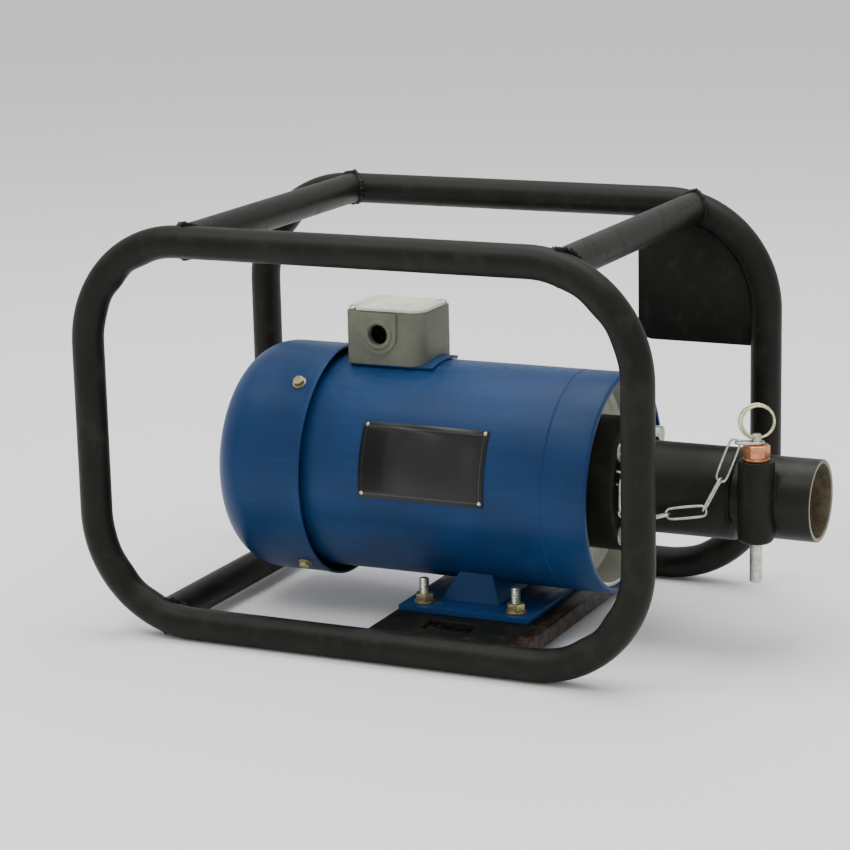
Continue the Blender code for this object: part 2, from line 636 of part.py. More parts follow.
def box_corner(half, x_side, y_side, radius, steps=4):
    """One rounded corner of the terminal box in plan, anticlockwise."""
    first = {(1, -1): -90, (1, 1): 0, (-1, 1): 90, (-1, -1): 180}[x_side, y_side]
    centre = (BOX_CENTRE + x_side * (half[0] - radius), y_side * (half[1] - radius))
    return arc(centre, radius, first, first + 90, steps)


def build_terminal_box():
    seat_r = shell_r + GAP + SEAT_SHEET
    half = (BOX_LENGTH / 2, BOX_WIDTH / 2)
    spread = math.degrees(math.asin((half[1] - SEAT_INSET) / seat_r))
    curved_plate("terminal_seat", (BOX_CENTRE - half[0] + SEAT_INSET, BOX_CENTRE + half[0] + SEAT_MARGIN),
                 (90 - spread, 90 + spread), shell_r + GAP, SEAT_SHEET, "motor_blue")
    low = SHAFT_HEIGHT + math.sqrt(shell_r ** 2 - half[1] ** 2)
    outline = (box_corner(half, 1, -1, BOX_CORNER) + box_corner(half, 1, 1, POST_CORNER)
               + box_corner(half, -1, 1, BOX_CORNER) + box_corner(half, -1, -1, POST_CORNER))
    box = finish("terminal_box", prism(outline, low, BOX_TOP, "Z"), "cast_grey")
    face = -half[1] - CONDUIT_PAD_PROUD
    pad_r = CONDUIT_PAD / 2
    pad_outline = [(CONDUIT_CENTRE[0] + pad_r, BOX_TOP - 1 * MM), (CONDUIT_CENTRE[0] - pad_r, BOX_TOP - 1 * MM)]
    pad_outline += arc(CONDUIT_CENTRE, pad_r, 180, 360, 8)
    pad = prism(pad_outline, face, -half[1] + 1 * MM, "Y")
    boolean(box, guide(finish("terminal_box_pad", pad, "cast_grey")), "UNION")
    seat = on_axis([(BOX_CENTRE - BOX_LENGTH, 0), (BOX_CENTRE - BOX_LENGTH, seat_r + GAP),
                    (BOX_CENTRE + BOX_LENGTH, seat_r + GAP), (BOX_CENTRE + BOX_LENGTH, 0)], 48, closed=False)
    boolean(box, guide(finish("terminal_box_saddle", seat, "cast_grey")))
    inner = (half[0] - BOX_WALL, half[1] - BOX_WALL)
    x0, x1 = BOX_CENTRE - inner[0], BOX_CENTRE + inner[0]
    cut = BOX_POST - BOX_WALL
    inner_corner = BOX_CORNER - BOX_WALL
    cavity = [(x0 + cut, -inner[1])] + box_corner(inner, 1, -1, inner_corner)
    cavity += [(x1, inner[1] - cut), (x1 - cut, inner[1])] + box_corner(inner, -1, 1, inner_corner)
    cavity += [(x0, -inner[1] + cut)]
    boolean(box, guide(finish("terminal_box_room", prism(cavity, BOX_FLOOR, BOX_TOP + BOX_WALL, "Z"),
                              "cast_grey", smooth=False)))
    hole = prism(polygon(16, CONDUIT_HOLE / 2, CONDUIT_CENTRE), face - BOX_WALL, -inner[1] + 1 * MM, "Y")
    boolean(box, guide(finish("terminal_box_conduit", hole, "cast_grey")))
    build_lid(box, half)
    size = BOARD_SIZE
    finish("terminal_board", block((BOX_CENTRE - size[0] / 2, -size[1] / 2, BOX_FLOOR + GAP),
                                   (BOX_CENTRE + size[0] / 2, size[1] / 2, BOX_FLOOR + GAP + size[2])),
           "fan_plastic", smooth=False)


def build_lid(box, half):
    """The lid leaves two opposite corners bare, where its screws go into the box's posts."""
    x0, x1 = BOX_CENTRE - half[0], BOX_CENTRE + half[0]
    low = BOX_TOP + GAP
    notch = LID_NOTCH
    outline = [(x0 + notch, -half[1])] + box_corner(half, 1, -1, BOX_CORNER)
    outline += [(x1, half[1] - notch), (x1 - notch, half[1] - notch), (x1 - notch, half[1])]
    outline += box_corner(half, -1, 1, BOX_CORNER)
    outline += [(x0, -half[1] + notch), (x0 + notch, -half[1] + notch)]
    finish("terminal_lid", prism(outline, low, low + LID_SHEET, "Z"), "lid_grey", smooth=False)
    inset = notch / 2
    places = ((x0 + inset, -half[1] + inset), (x1 - inset, half[1] - inset))
    for k, place in enumerate(places):
        name = f"lid_screw_{k + 1}"
        hole = prism(polygon(8, LID_SCREW / 2 + LOOSE, place), BOX_TOP - 14 * MM, BOX_TOP + 5 * MM, "Z")
        boolean(box, guide(finish(name + "_hole", hole, "cast_grey")))
        shank = prism(polygon(8, LID_SCREW / 2, place), BOX_TOP - 13 * MM, low + GAP, "Z")
        screw = finish(name, shank, "steel")
        head = prism(polygon(12, LID_SCREW_HEAD / 2, place), low, low + LID_SHEET, "Z")
        boolean(screw, guide(finish(name + "_head", head, "steel")), "UNION")


def build_rotor(rear_lip, front_lip):
    stack_front = STACK_REAR + STACK_LENGTH
    fan_front = rear_face - FAN_BACK_GAP
    tail = fan_front - FAN_DEPTH
    main_r, nose_r, tail_r = SHAFT_MAIN / 2, SHAFT_NOSE / 2, SHAFT_TAIL / 2
    profile = ((tail, 0), (tail, tail_r), (rear_lip - 1 * MM, tail_r), (rear_lip - 1 * MM, main_r),
               (front_lip + 1 * MM, main_r), (front_lip + 1 * MM, nose_r), (SHAFT_END, nose_r), (SHAFT_END, 0))
    finish("motor_shaft", on_axis(profile, 24, closed=False), "steel")
    finish("rotor_core", on_axis(band(STACK_REAR, stack_front, main_r + GAP, ROTOR_OUTSIDE / 2)),
           "lamination")
    disc = FAN_BLADE
    hub_r = tail_r + 8 * MM
    fan_profile = ((fan_front, tail_r + GAP), (fan_front, FAN_OUTSIDE / 2), (fan_front - disc, FAN_OUTSIDE / 2),
                   (fan_front - disc, hub_r), (tail + 4 * MM, hub_r), (tail + 4 * MM, tail_r + GAP))
    fan = finish("cooling_fan", on_axis(fan_profile), "fan_plastic")
    blades = bmesh.new()
    for k in range(FAN_BLADES):
        angle = 2 * math.pi * k / FAN_BLADES
        direction = Vector((0, math.cos(angle), math.sin(angle)))
        side = direction.cross(Vector((1, 0, 0))) * FAN_BLADE / 2
        near, far = direction * (hub_r - 2 * MM), direction * (FAN_OUTSIDE / 2 - 2 * MM)
        outline = [near - side, far - side, far + side, near + side]
        prism([(p.y, p.z + SHAFT_HEIGHT) for p in outline], tail + 6 * MM, fan_front - disc / 2, "X", blades)
    boolean(fan, guide(finish("cooling_fan_blades", blades, "fan_plastic", smooth=False)), "UNION")
    bore = nose_r + GAP
    start, end = DRIVE_HUB
    hub_profile = ((start, bore), (start, DRIVE_HUB_OUTSIDE / 2), (end, DRIVE_HUB_OUTSIDE / 2), (end, 0),
                   (SHAFT_END + GAP, 0), (SHAFT_END + GAP, bore))
    hub = finish("drive_hub", drive_hub_body(hub_profile), "steel")
    corner = DRIVE_SQUARE / math.sqrt(2)
    square = prism(polygon(4, corner, (0, SHAFT_HEIGHT), math.radians(45)), end - DRIVE_DEPTH, end + 5 * MM, "X")
    boolean(hub, guide(finish("drive_hub_square", square, "steel", smooth=False)))


def drive_hub_body(profile):
    """The hub's profile starts and ends off the axis, so its two open rims are bridged."""
    body = lathe(profile[3:], 24, closed=False, centre=(0, SHAFT_HEIGHT))
    body = lathe(profile[:4], 24, closed=False, centre=(0, SHAFT_HEIGHT), builder=body)
    bmesh.ops.remove_doubles(body, verts=body.verts, dist=1e-7)
    rims = [e for e in body.edges if len(e.link_faces) == 1]
    if rims:
        bmesh.ops.bridge_loops(body, edges=rims)
    return body


def build_motor():
    build_shell()
    front_lip = build_front_endshield()
    rear_lip = build_rear_endshield()
    build_cowl()
    build_cowl_screws()
    build_electric_parts(front_lip, rear_lip)
    foot_top, shell_guide = build_foot()
    build_foot_bolts(foot_top)
    build_terminal_box()
    curved_plate("nameplate", PLATE_X, PLATE_ANGLES, shell_r + GAP, PLATE_SHEET, "plate_black")
    build_rotor(rear_lip, front_lip)


# ---------------------------------------------------------------- coupling

def build_coupling():
    flange = finish("coupling_flange", on_axis(band(flange_rear, flange_front, long_r + GAP,
                                                    FLANGE_OUTSIDE / 2)), "frame_black")
    holes = bmesh.new()
    for place in flange_bolt_places():
        prism(polygon(8, FLANGE_BOLT / 2 + LOOSE, place), flange_rear - 5 * MM, flange_front + 5 * MM, "X", holes)
    boolean(flange, guide(finish("coupling_flange_holes", holes, "frame_black")))
    for k, (y, z) in enumerate(flange_bolt_places()):
        bolt_along_x(f"flange_bolt_{k + 1}", y, z, shield_face - SHIELD_WEB + 1 * MM, flange_front + GAP,
                     FLANGE_BOLT, FLANGE_BOLT_FLATS, FLANGE_BOLT_HEAD, "steel")
    finish("coupling_tube", on_axis(band(flange_rear + 2 * MM, TUBE_END, long_r - LONG_TUBE_WALL, long_r), 40),
           "frame_black")
    socket = finish("socket_tube", on_axis(band(TUBE_END - SOCKET_LAP, SOCKET_END, socket_bore_r, socket_r), 40),
                    "frame_black")
    pin_clear = lathe([(PIN_BOTTOM, 0), (PIN_BOTTOM, pin_r + LOOSE), (sleeve_top + 5 * MM, pin_r + LOOSE),
                       (sleeve_top + 5 * MM, 0)], 16, closed=False, centre=(PIN_X, pin_y), axis="Z")
    pin_guide = guide(finish("lock_pin_clear", pin_clear, "frame_black"))
    boolean(socket, pin_guide)
    radius = SLEEVE_OUTSIDE / 2
    rounding = arc((sleeve_bottom + SLEEVE_ROUND, radius - SLEEVE_ROUND), SLEEVE_ROUND, 180, 90, 4)
    sleeve_profile = [(sleeve_bottom, 0)] + rounding + [(sleeve_top, radius), (sleeve_top, 0)]
    sleeve = finish("pin_sleeve", lathe(sleeve_profile, 24, closed=False, centre=(PIN_X, pin_y), axis="Z"),
                    "frame_black")
    tube_clear = on_axis([(TUBE_END, 0), (TUBE_END, socket_r + GAP), (SOCKET_END, socket_r + GAP),
                          (SOCKET_END, 0)], 40, closed=False)
    boolean(sleeve, guide(finish("socket_tube_clear", tube_clear, "frame_black")))
    boolean(sleeve, pin_guide)


def build_pin():
    neck = PIN_NECK / 2
    profile = [(PIN_BOTTOM, 0), (PIN_BOTTOM, pin_r - 1 * MM), (PIN_BOTTOM + 1 * MM, pin_r),
               (sleeve_top, pin_r), (sleeve_top, HEAD_BORE / 2 - GAP), (head_top, HEAD_BORE / 2 - GAP),
               (head_top, neck), (head_top + NECK_ABOVE_HEAD, neck), (head_top + NECK_ABOVE_HEAD, 0)]
    pin = finish("lock_pin", lathe(profile, 16, closed=False, centre=(PIN_X, pin_y), axis="Z"), "steel")
    centre = Vector((PIN_X, pin_y, ring_z))
    reach = ring_along * PIN_NECK
    hole = sweep([centre - reach, centre + reach], RING_WIRE / 2 + 0.8 * MM, 12, Vector((0, 0, 1)), closed=False)
    boolean(pin, guide(finish("lock_pin_eye", hole, "steel")))
    head = finish("pin_head", prism(polygon(6, hex_radius(HEAD_FLATS), (PIN_X, pin_y), ring_turn),
                                    sleeve_top + GAP, head_top, "Z"), "copper_head", smooth=False)
    bore = prism(polygon(16, HEAD_BORE / 2, (PIN_X, pin_y)), sleeve_top - GAP, head_top + 1 * MM, "Z")
    boolean(head, guide(finish("pin_head_bore", bore, "copper_head")))
    ring_centre = centre + Vector((0, 0, RING_RADIUS))
    path = [ring_centre + x * ring_along + Vector((0, 0, z)) for x, z in polygon(24, RING_RADIUS)]
    normal = ring_along.cross(Vector((0, 0, 1)))
    finish("pull_ring", sweep(path, RING_WIRE / 2, 8, normal), "zinc_yellow")


def link_path(start, end, wide, half_width, steps=5):
    """The centre line of an oval link whose two ends' wires pass through start and end."""
    along = (end - start).normalized()
    wide = (wide - along * wide.dot(along)).normalized()
    first, last = start + along * half_width, end - along * half_width
    points = []
    for centre, turn in ((last, -90), (first, 90)):
        for x, y in arc((0, 0), half_width, turn, turn + 180, steps):
            points.append(centre + along * x + wide * y)
    return points, along.cross(wide).normalized()


def build_chain():
    """Seven oval links that alternate their planes, from an eye on the flange to the pin's neck."""
    across = Vector((0, 1, 0))
    eye_r = LINK_HALF_WIDTH + 0.6 * MM
    eye_y, eye_z = -CHAIN_OUT, SHAFT_HEIGHT + EYE_UP
    bend_x = flange_front + EYE_REACH - eye_r
    staple = [(flange_front + GAP, eye_z - eye_r)] + arc((bend_x, eye_z), eye_r, -90, 90, 6)
    staple += [(flange_front + GAP, eye_z + eye_r)]
    finish("chain_eye", sweep([Vector((x, eye_y, z)) for x, z in staple], EYE_WIRE / 2, 6, across, closed=False),
           "steel")
    room = CHAIN_WIRE + GAP
    first = Vector((bend_x + eye_r - (EYE_WIRE + CHAIN_WIRE) / 2 - GAP, eye_y, eye_z))
    knots = [first]
    knots += [Vector((flange_front + x, -out, SHAFT_HEIGHT + up)) for x, out, up in CHAIN_POINTS]
    neck_wire = head_top + GAP + wire_r + 0.2 * MM
    knots.append(Vector((PIN_X, pin_y, neck_wire)) - ring_along * LINK_7_REACH)
    for k, (start, end) in enumerate(zip(knots, knots[1:])):
        along = (end - start).normalized()
        flat = k % 2 == 1                     # every second link lies broad side to the near side
        if flat:
            start, end = start - along * room, end + along * room
        wide = along.cross(across) if flat else across
        path, normal = link_path(start, end, wide, LINK_HALF_WIDTH)
        finish(f"chain_link_{k + 1}", sweep(path, wire_r, 6, normal), "steel")
    loop_r = PIN_NECK / 2 + 2 * GAP + wire_r
    neck = Vector((PIN_X, pin_y, neck_wire))
    path, normal = link_path(neck - ring_along * LINK_7_REACH, neck + ring_along * loop_r,
                             ring_along.cross(Vector((0, 0, 1))), loop_r, steps=6)
    finish(f"chain_link_{len(knots)}", sweep(path, wire_r, 6, normal), "steel")


for old in list(bpy.data.objects):
    bpy.data.objects.remove(old, do_unlink=True)
unit = bpy.data.objects.new("drive_unit", None)
bpy.context.scene.collection.objects.link(unit)
unit.location.x = -(SOCKET_END - HOOP_LENGTH / 2 - rail_z) / 2
bpy.context.view_layer.update()
build_frame()
build_motor()
build_coupling()
build_pin()
build_chain()
bpy.context.view_layer.update()
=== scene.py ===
"""Finished look of a concrete vibrator's drive unit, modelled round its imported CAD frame.

The file is laid out as an add-on: sizes and colours are properties, each piece or group of
like pieces has its operator, and main() runs them in order. Metres, +X along the motor axis
toward the shaft socket, +Z up.
"""
import json
import math
import random

import bpy
from mathutils import Matrix, Vector

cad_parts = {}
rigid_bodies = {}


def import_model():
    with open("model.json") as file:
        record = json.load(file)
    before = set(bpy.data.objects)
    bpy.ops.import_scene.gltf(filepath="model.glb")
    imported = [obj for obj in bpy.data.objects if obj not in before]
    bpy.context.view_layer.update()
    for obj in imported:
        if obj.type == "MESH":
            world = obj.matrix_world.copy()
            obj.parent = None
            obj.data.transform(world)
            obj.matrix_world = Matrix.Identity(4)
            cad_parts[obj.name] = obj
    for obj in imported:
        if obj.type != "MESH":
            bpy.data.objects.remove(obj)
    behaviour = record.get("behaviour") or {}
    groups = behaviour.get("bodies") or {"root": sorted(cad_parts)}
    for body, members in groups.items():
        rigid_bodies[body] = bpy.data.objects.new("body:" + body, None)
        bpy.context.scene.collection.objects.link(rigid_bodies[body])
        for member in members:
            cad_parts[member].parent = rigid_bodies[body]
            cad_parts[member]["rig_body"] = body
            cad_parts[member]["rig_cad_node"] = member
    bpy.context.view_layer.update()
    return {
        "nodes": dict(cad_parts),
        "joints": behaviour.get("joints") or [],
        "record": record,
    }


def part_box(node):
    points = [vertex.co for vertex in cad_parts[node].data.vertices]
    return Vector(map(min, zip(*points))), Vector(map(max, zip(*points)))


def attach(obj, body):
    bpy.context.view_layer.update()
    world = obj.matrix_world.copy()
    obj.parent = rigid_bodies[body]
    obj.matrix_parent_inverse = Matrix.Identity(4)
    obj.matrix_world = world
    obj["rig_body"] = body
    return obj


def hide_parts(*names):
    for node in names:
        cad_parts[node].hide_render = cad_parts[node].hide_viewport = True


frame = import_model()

bl_info = {
    "name": "Concrete Vibrator Drive Unit",
    "version": (1, 0, 0),
    "blender": (4, 5, 0),
    "location": "View3D > Sidebar > Drive Unit",
    "description": "Models the finished look of a concrete vibrator's motor, roll frame and shaft coupling",
    "category": "Object",
}

MM = 0.001
NODES = frame["nodes"]


def span(node):
    low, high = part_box(node)
    return Vector(low), Vector(high)


def middle(node):
    low, high = span(node)
    return (low + high) / 2


def half_width(node):
    """A round node's radius, where its axis runs along X."""
    low, high = span(node)
    return (high.y - low.y) / 2


AXIS = middle("motor_shaft")
AXIS.x = 0
ORIGIN = Vector((0, 0, 0))
SHELL_LOW, SHELL_HIGH = span("motor_shell")
SHELL_RADIUS = half_width("motor_shell")
HOOP_LOW, HOOP_HIGH = span("near_hoop")
TUBE_RADIUS = 12.7 * MM
SOCKET_WALL = 3.5 * MM
PIN_HOLE = 5.1 * MM             # radius of the holes that the lock pin passes through
BOLT_RADIUS = 4 * MM            # the bolts of the foot and the flange
BOLT_FLATS = 13 * MM            # across the flats of their heads and nuts
BOLT_HOLE = 4.3 * MM            # radius of their holes and of their washers' bores


# ---------------------------------------------------------------- properties

def length(name, text, value):
    return bpy.props.FloatProperty(name=name, description=text, default=value, unit="LENGTH",
                                   subtype="DISTANCE", precision=4)


def colour(name, text, value):
    return bpy.props.FloatVectorProperty(name=name, description=text, default=value, size=3,
                                         min=0, max=1, subtype="COLOR")


class DriveUnitSizes(bpy.types.PropertyGroup):
    tube: length("Tube", "Outside diameter of the roll frame's tube", 2 * TUBE_RADIUS)
    bend: length("Bend", "Centre-line radius of the roll frame's bends", 85 * MM)
    weld: length("Weld bead", "Radius of the weld beads", 2.4 * MM)
    edge: length("Edge", "Rounding along the edges of sheet pieces", 0.8 * MM)
    crease: length("Bend ripple", "Height of the ripples inside the bends", 0.9 * MM)


class DriveUnitColours(bpy.types.PropertyGroup):
    frame_paint: colour("Frame paint", "Black paint on tubes and coupling", (0.0072, 0.0074, 0.0050))
    motor_enamel: colour("Motor enamel", "Blue enamel of the motor", (0.0056, 0.034, 0.108))
    box_casting: colour("Terminal box", "Grey of the terminal box", (0.128, 0.135, 0.098))
    lid_paint: colour("Lid", "Pale grey of the terminal lid", (0.62, 0.635, 0.515))
    bare_casting: colour("Endshield", "Bare aluminium of the endshield", (0.50, 0.51, 0.43))
    zinc: colour("Zinc plate", "Yellow zinc on nuts and screws", (0.40, 0.36, 0.19))
    ring_plate: colour("Ring plate", "Pale yellow plate of the pull ring", (0.68, 0.66, 0.40))
    bare_steel: colour("Steel", "Bare steel of pin and chain", (0.52, 0.53, 0.47))
    copper: colour("Copper plate", "Copper-coloured plate on the pin's head", (0.62, 0.27, 0.13))


def sizes():
    return bpy.context.scene.drive_unit_sizes


def colours():
    return bpy.context.scene.drive_unit_colours


# ---------------------------------------------------------------- shader maths

class Signal:
    """A node's output. Sums and products of signals add Math nodes."""

    def __init__(self, finish, socket):
        self.finish = finish
        self.socket = socket

    def maths(self, operation, *others):
        return self.finish.node("ShaderNodeMath", {"operation": operation}, dict(enumerate(others)))

    def __add__(self, other):
        return self.maths("ADD", self, other)

    def __radd__(self, other):
        return self.maths("ADD", other, self)

    def __sub__(self, other):
        return self.maths("SUBTRACT", self, other)

    def __rsub__(self, other):
        return self.maths("SUBTRACT", other, self)

    def __mul__(self, other):
        return self.maths("MULTIPLY", self, other)

    def __rmul__(self, other):
        return self.maths("MULTIPLY", other, self)

    def __pow__(self, other):
        return self.maths("POWER", self, other)

    def least(self, other):
        return self.maths("MINIMUM", self, other)

    def most(self, other):
        return self.maths("MAXIMUM", self, other)

    def ramp(self, low, high):
        """0 below low and 1 above high, with a soft step between. low may be the larger."""
        return self.finish.node("ShaderNodeMapRange", {"interpolation_type": "SMOOTHSTEP"},
                                {"Value": self, "From Min": low, "From Max": high})


class Finish:
    """Builds one material around a Principled shader."""

    def __init__(self, name):
        self.material = bpy.data.materials.new(name)
        self.material.use_nodes = True
        self.tree = self.material.node_tree
        self.shader = self.tree.nodes["Principled BSDF"]
        self.place = self.node("ShaderNodeTexCoord", output="Object")

    def node(self, kind, settings=None, inputs=None, output=0):
        made = self.tree.nodes.new(kind)
        for key, value in (settings or {}).items():
            setattr(made, key, value)
        for key, value in (inputs or {}).items():
            self.feed(made.inputs[key], value)
        return Signal(self, made.outputs[output])

    def feed(self, socket, value):
        if isinstance(value, Signal):
            self.tree.links.new(value.socket, socket)
        elif socket.type == "RGBA" and len(value) == 3:
            socket.default_value = (*value, 1)
        else:
            socket.default_value = value

    def set(self, **values):
        """Shader sockets by name, with _ for a space."""
        for key, value in values.items():
            self.feed(self.shader.inputs[key.replace("_", " ")], value)

    def noise(self, scale, detail=3.0, rough=0.55, at=None):
        return self.node("ShaderNodeTexNoise", {},
                         {"Vector": at or self.place, "Scale": scale, "Detail": detail, "Roughness": rough})

    def cells(self, scale):
        """Distance to the nearest of many scattered points."""
        return self.node("ShaderNodeTexVoronoi", {}, {"Vector": self.place, "Scale": scale}, "Distance")

    def mix(self, amount, first, second):
        return self.node("ShaderNodeMix", {"data_type": "RGBA"}, {0: amount, 6: first, 7: second}, 2)

    def mottled(self, base, cloud, low, high, dark, light):
        """The base colour, darker where the cloud is thin and lighter where it is thick."""
        return self.mix(cloud.ramp(low, high), shade(base, dark), shade(base, light))

    def mapped(self, scale=(1, 1, 1), location=(0, 0, 0)):
        return self.node("ShaderNodeMapping", {},
                         {"Vector": self.place, "Scale": scale, "Location": location})

    def axes(self, at=None):
        parts = self.node("ShaderNodeSeparateXYZ", {}, {0: at or self.place}).socket.node
        return [Signal(self, parts.outputs[i]) for i in range(3)]

    def bump(self, height, strength, distance):
        return self.node("ShaderNodeBump", {},
                         {"Height": height, "Strength": strength, "Distance": distance}, "Normal")

    def radius(self, centre):
        """Distance from an axis through centre, parallel to X."""
        _, y, z = self.axes()
        y, z = y - centre.y, z - centre.z
        return (y * y + z * z) ** 0.5


def shade(base, factor):
    return tuple(min(1.0, c * factor) for c in base)


def black_paint(name, base, rusty=0.0):
    """Thick semi-gloss black paint with patches of dust and small worn places."""
    f = Finish(name)
    fine = f.noise(900, 3)
    dust = f.noise(55, 6, 0.65).ramp(0.50, 0.72)
    chips = f.noise(260, 5, 0.7).ramp(0.69, 0.73)
    worn = chips * f.noise(22, 2).ramp(0.46, 0.60)
    tone = f.mottled(base, f.noise(14, 4), 0.3, 0.7, 0.78, 1.30)
    tone = f.mix(dust * 0.22, tone, (0.050, 0.048, 0.040))
    tone = f.mix(worn * 0.55, tone, (0.12, 0.11, 0.09))
    if rusty:
        _, high = span("base_plate")
        edge = f.axes()[0].ramp(high.x - 26 * MM, high.x - 1 * MM)
        scale = f.noise(120, 6, 0.7).ramp(0.70 - 0.25 * edge, 0.82 - 0.25 * edge)
        tone = f.mix(scale * rusty, tone, (0.062, 0.033, 0.018))
    peel = f.noise(330, 2) * 0.7 + fine * 0.3
    f.set(Base_Color=tone, Roughness=0.40 + dust * 0.20 + fine * 0.08 + worn * 0.2,
          Normal=f.bump(peel - worn * 0.8, 0.22, 0.35 * MM), Specular_IOR_Level=0.16)
    return f.material


def worn_socket(name, base):
    """Black paint outside; the bore is bare and rust-stained, its mouth rubbed bright."""
    f = Finish(name)
    x, _, _ = f.axes()
    _, high = span("socket_tube")
    reach = f.radius(AXIS)
    bore = half_width("socket_tube") - SOCKET_WALL
    inside = reach.ramp(bore + 0.9 * MM, bore + 0.3 * MM)
    lip = x.ramp(high.x - 1.5 * MM, high.x - 0.3 * MM) * f.noise(90, 4).ramp(0.28, 0.48)
    rubbed = lip * reach.ramp(bore + 3.6 * MM, bore + 2.6 * MM)
    cloud = f.noise(45, 6, 0.7)
    rust = f.noise(75, 6, 0.7).ramp(0.50, 0.66)
    bare = f.mix(cloud.ramp(0.35, 0.65), (0.055, 0.050, 0.030), (0.15, 0.135, 0.085))
    bare = f.mix(rust * 0.75, bare, (0.12, 0.055, 0.022))
    paint = f.mottled(base, f.noise(14, 4), 0.3, 0.7, 0.78, 1.30)
    paint = f.mix(f.noise(55, 6, 0.65).ramp(0.52, 0.74) * 0.3, paint, (0.07, 0.066, 0.055))
    tone = f.mix(inside, paint, bare)
    tone = f.mix(rubbed * 0.55, tone, (0.30, 0.28, 0.20))
    bright = (inside * 0.5).most(rubbed)
    f.set(Base_Color=tone, Metallic=bright * 0.7, Roughness=0.34 + inside * 0.18 + cloud * 0.1,
          Normal=f.bump(f.noise(330, 2) * 0.7 + cloud * inside, 0.22, 0.35 * MM),
          Specular_IOR_Level=0.2)
    return f.material


def blue_enamel(name, base):
    """Enamel on rolled sheet: painted highlights as lighter streaks along the axis, fine peel, dust on what
    faces up.
    """
    f = Finish(name)
    _, _, up = f.axes(f.node("ShaderNodeNewGeometry", output="Normal"))
    # mask of the painted highlight: long soft bands along the motor axis
    painted_highlight_streak = f.noise(1, 4, 0.6, at=f.mapped((12, 160, 160)))
    dust = f.noise(130, 6, 0.7).ramp(0.46, 0.75) * up.ramp(0.35, 1.0)
    specks = f.cells(420).ramp(0.10, 0.04) * f.noise(60, 2).ramp(0.5, 0.62)
    tone = f.mottled(base, f.noise(9, 3), 0.3, 0.7, 0.80, 1.22)
    # painted highlight: the base colour lightened in streaks along the shell
    tone = f.mix(painted_highlight_streak.ramp(0.50, 0.75) * 0.22, tone, shade(base, 1.9))
    tone = f.mix(dust * 0.10, tone, (0.13, 0.17, 0.22))
    tone = f.mix(specks * 0.25, tone, (0.06, 0.09, 0.13))
    peel = f.noise(300, 2) * 0.6 + f.noise(70, 2) * 1.2
    f.set(Base_Color=tone, Roughness=0.34 + dust * 0.22 + painted_highlight_streak * 0.10,
          Normal=f.bump(peel, 0.14, 0.5 * MM), Specular_IOR_Level=0.17)
    return f.material


def cast_grey(name, base, grain=1.0):
    """Paint over a sand casting."""
    f = Finish(name)
    sand = f.noise(520, 4, 0.65)
    pits = f.cells(330).ramp(0.16, 0.02)
    stain = f.noise(34, 5, 0.6)
    tone = f.mottled(base, stain, 0.35, 0.7, 0.80, 1.12)
    tone = f.mix(pits * 0.5, tone, shade(base, 0.5))
    f.set(Base_Color=tone, Roughness=0.52 + stain * 0.16, Metallic=0.12,
          Normal=f.bump(sand - pits * 0.5, 0.45 * grain, 0.45 * MM))
    return f.material


def turned_aluminium(name, base):
    """Bare casting, turned on its rim: fine rings round the motor axis, dull and stained inside."""
    f = Finish(name)
    reach = f.radius(AXIS)
    rim = reach.ramp(SHELL_RADIUS - 9.5 * MM, SHELL_RADIUS - 8.0 * MM)
    rings = f.noise(1, 2, at=f.node("ShaderNodeCombineXYZ", {}, {0: reach * 4200}))
    stain = f.noise(38, 6, 0.65)
    sand = f.noise(600, 3)
    tone = f.mottled(base, stain, 0.35, 0.68, 0.72, 1)
    tone = f.mix(f.noise(90, 5, 0.7).ramp(0.56, 0.76) * 0.55, tone, (0.20, 0.17, 0.11))
    tone = f.mix(rim * 0.65, tone, (0.80, 0.80, 0.72))
    f.set(Base_Color=tone, Metallic=0.45 + rim * 0.35, Roughness=0.50 - rim * 0.12 + stain * 0.15,
          Normal=f.bump(rings * rim + sand * (1 - rim), 0.30, 0.25 * MM))
    return f.material


def plated(name, base, metallic=0.9, roughness=0.30, tarnish=(0.16, 0.12, 0.06), amount=0.35):
    """Thin plate on small hardware, dulled in patches, with fine turning marks."""
    f = Finish(name)
    cloud = f.noise(150, 5, 0.65)
    grime = f.noise(420, 5, 0.7).ramp(0.52, 0.70)
    tone = f.mottled(base, cloud, 0.3, 0.7, 0.72, 1.18)
    tone = f.mix(grime * amount, tone, tarnish)
    f.set(Base_Color=tone, Metallic=metallic - grime * 0.3,
          Roughness=roughness + cloud * 0.14 + grime * 0.2,
          Normal=f.bump(f.noise(1100, 2) + cloud * 0.5, 0.18, 0.2 * MM))
    return f.material


def dark_foil(name):
    """Foil plate left blank: a dark field with a thin, paler border line."""
    f = Finish(name)
    x, _, z = f.axes()
    low, high = span("nameplate")
    margin, line = 3.2 * MM, 0.5 * MM
    inner = (x - (low.x + margin)).least((high.x - margin) - x)
    up = (z - (low.z + margin)).least((high.z - margin) - z)
    edge = inner.least(up)
    border = edge.ramp(-line, -line * 0.6) * edge.ramp(line, line * 0.6)
    scuff = f.noise(1, 5, 0.7, at=f.mapped((60, 60, 900))).ramp(0.58, 0.75)
    tone = f.mix(border * 0.35, (0.0060, 0.0060, 0.0050), (0.16, 0.17, 0.16))
    tone = f.mix(scuff * 0.10, tone, (0.15, 0.15, 0.14))
    f.set(Base_Color=tone, Roughness=0.34 + scuff * 0.25, Metallic=0.2 + border * 0.5,
          Normal=f.bump(f.noise(700, 2), 0.08, 0.2 * MM))
    return f.material


def wound_copper(name):
    """Coil ends: many enamelled turns of wire."""
    f = Finish(name)
    turns = f.node("ShaderNodeTexWave", {"wave_type": "RINGS", "rings_direction": "X"},
                   {"Vector": f.mapped(location=(0, 0, -AXIS.z)), "Scale": 260, "Distortion": 3.0,
                    "Detail": 2})
    tone = f.mix(turns, (0.20, 0.055, 0.018), (0.55, 0.21, 0.08))
    f.set(Base_Color=tone, Metallic=0.75, Roughness=0.38 + turns * 0.15,
          Normal=f.bump(turns, 0.6, 0.6 * MM))
    return f.material


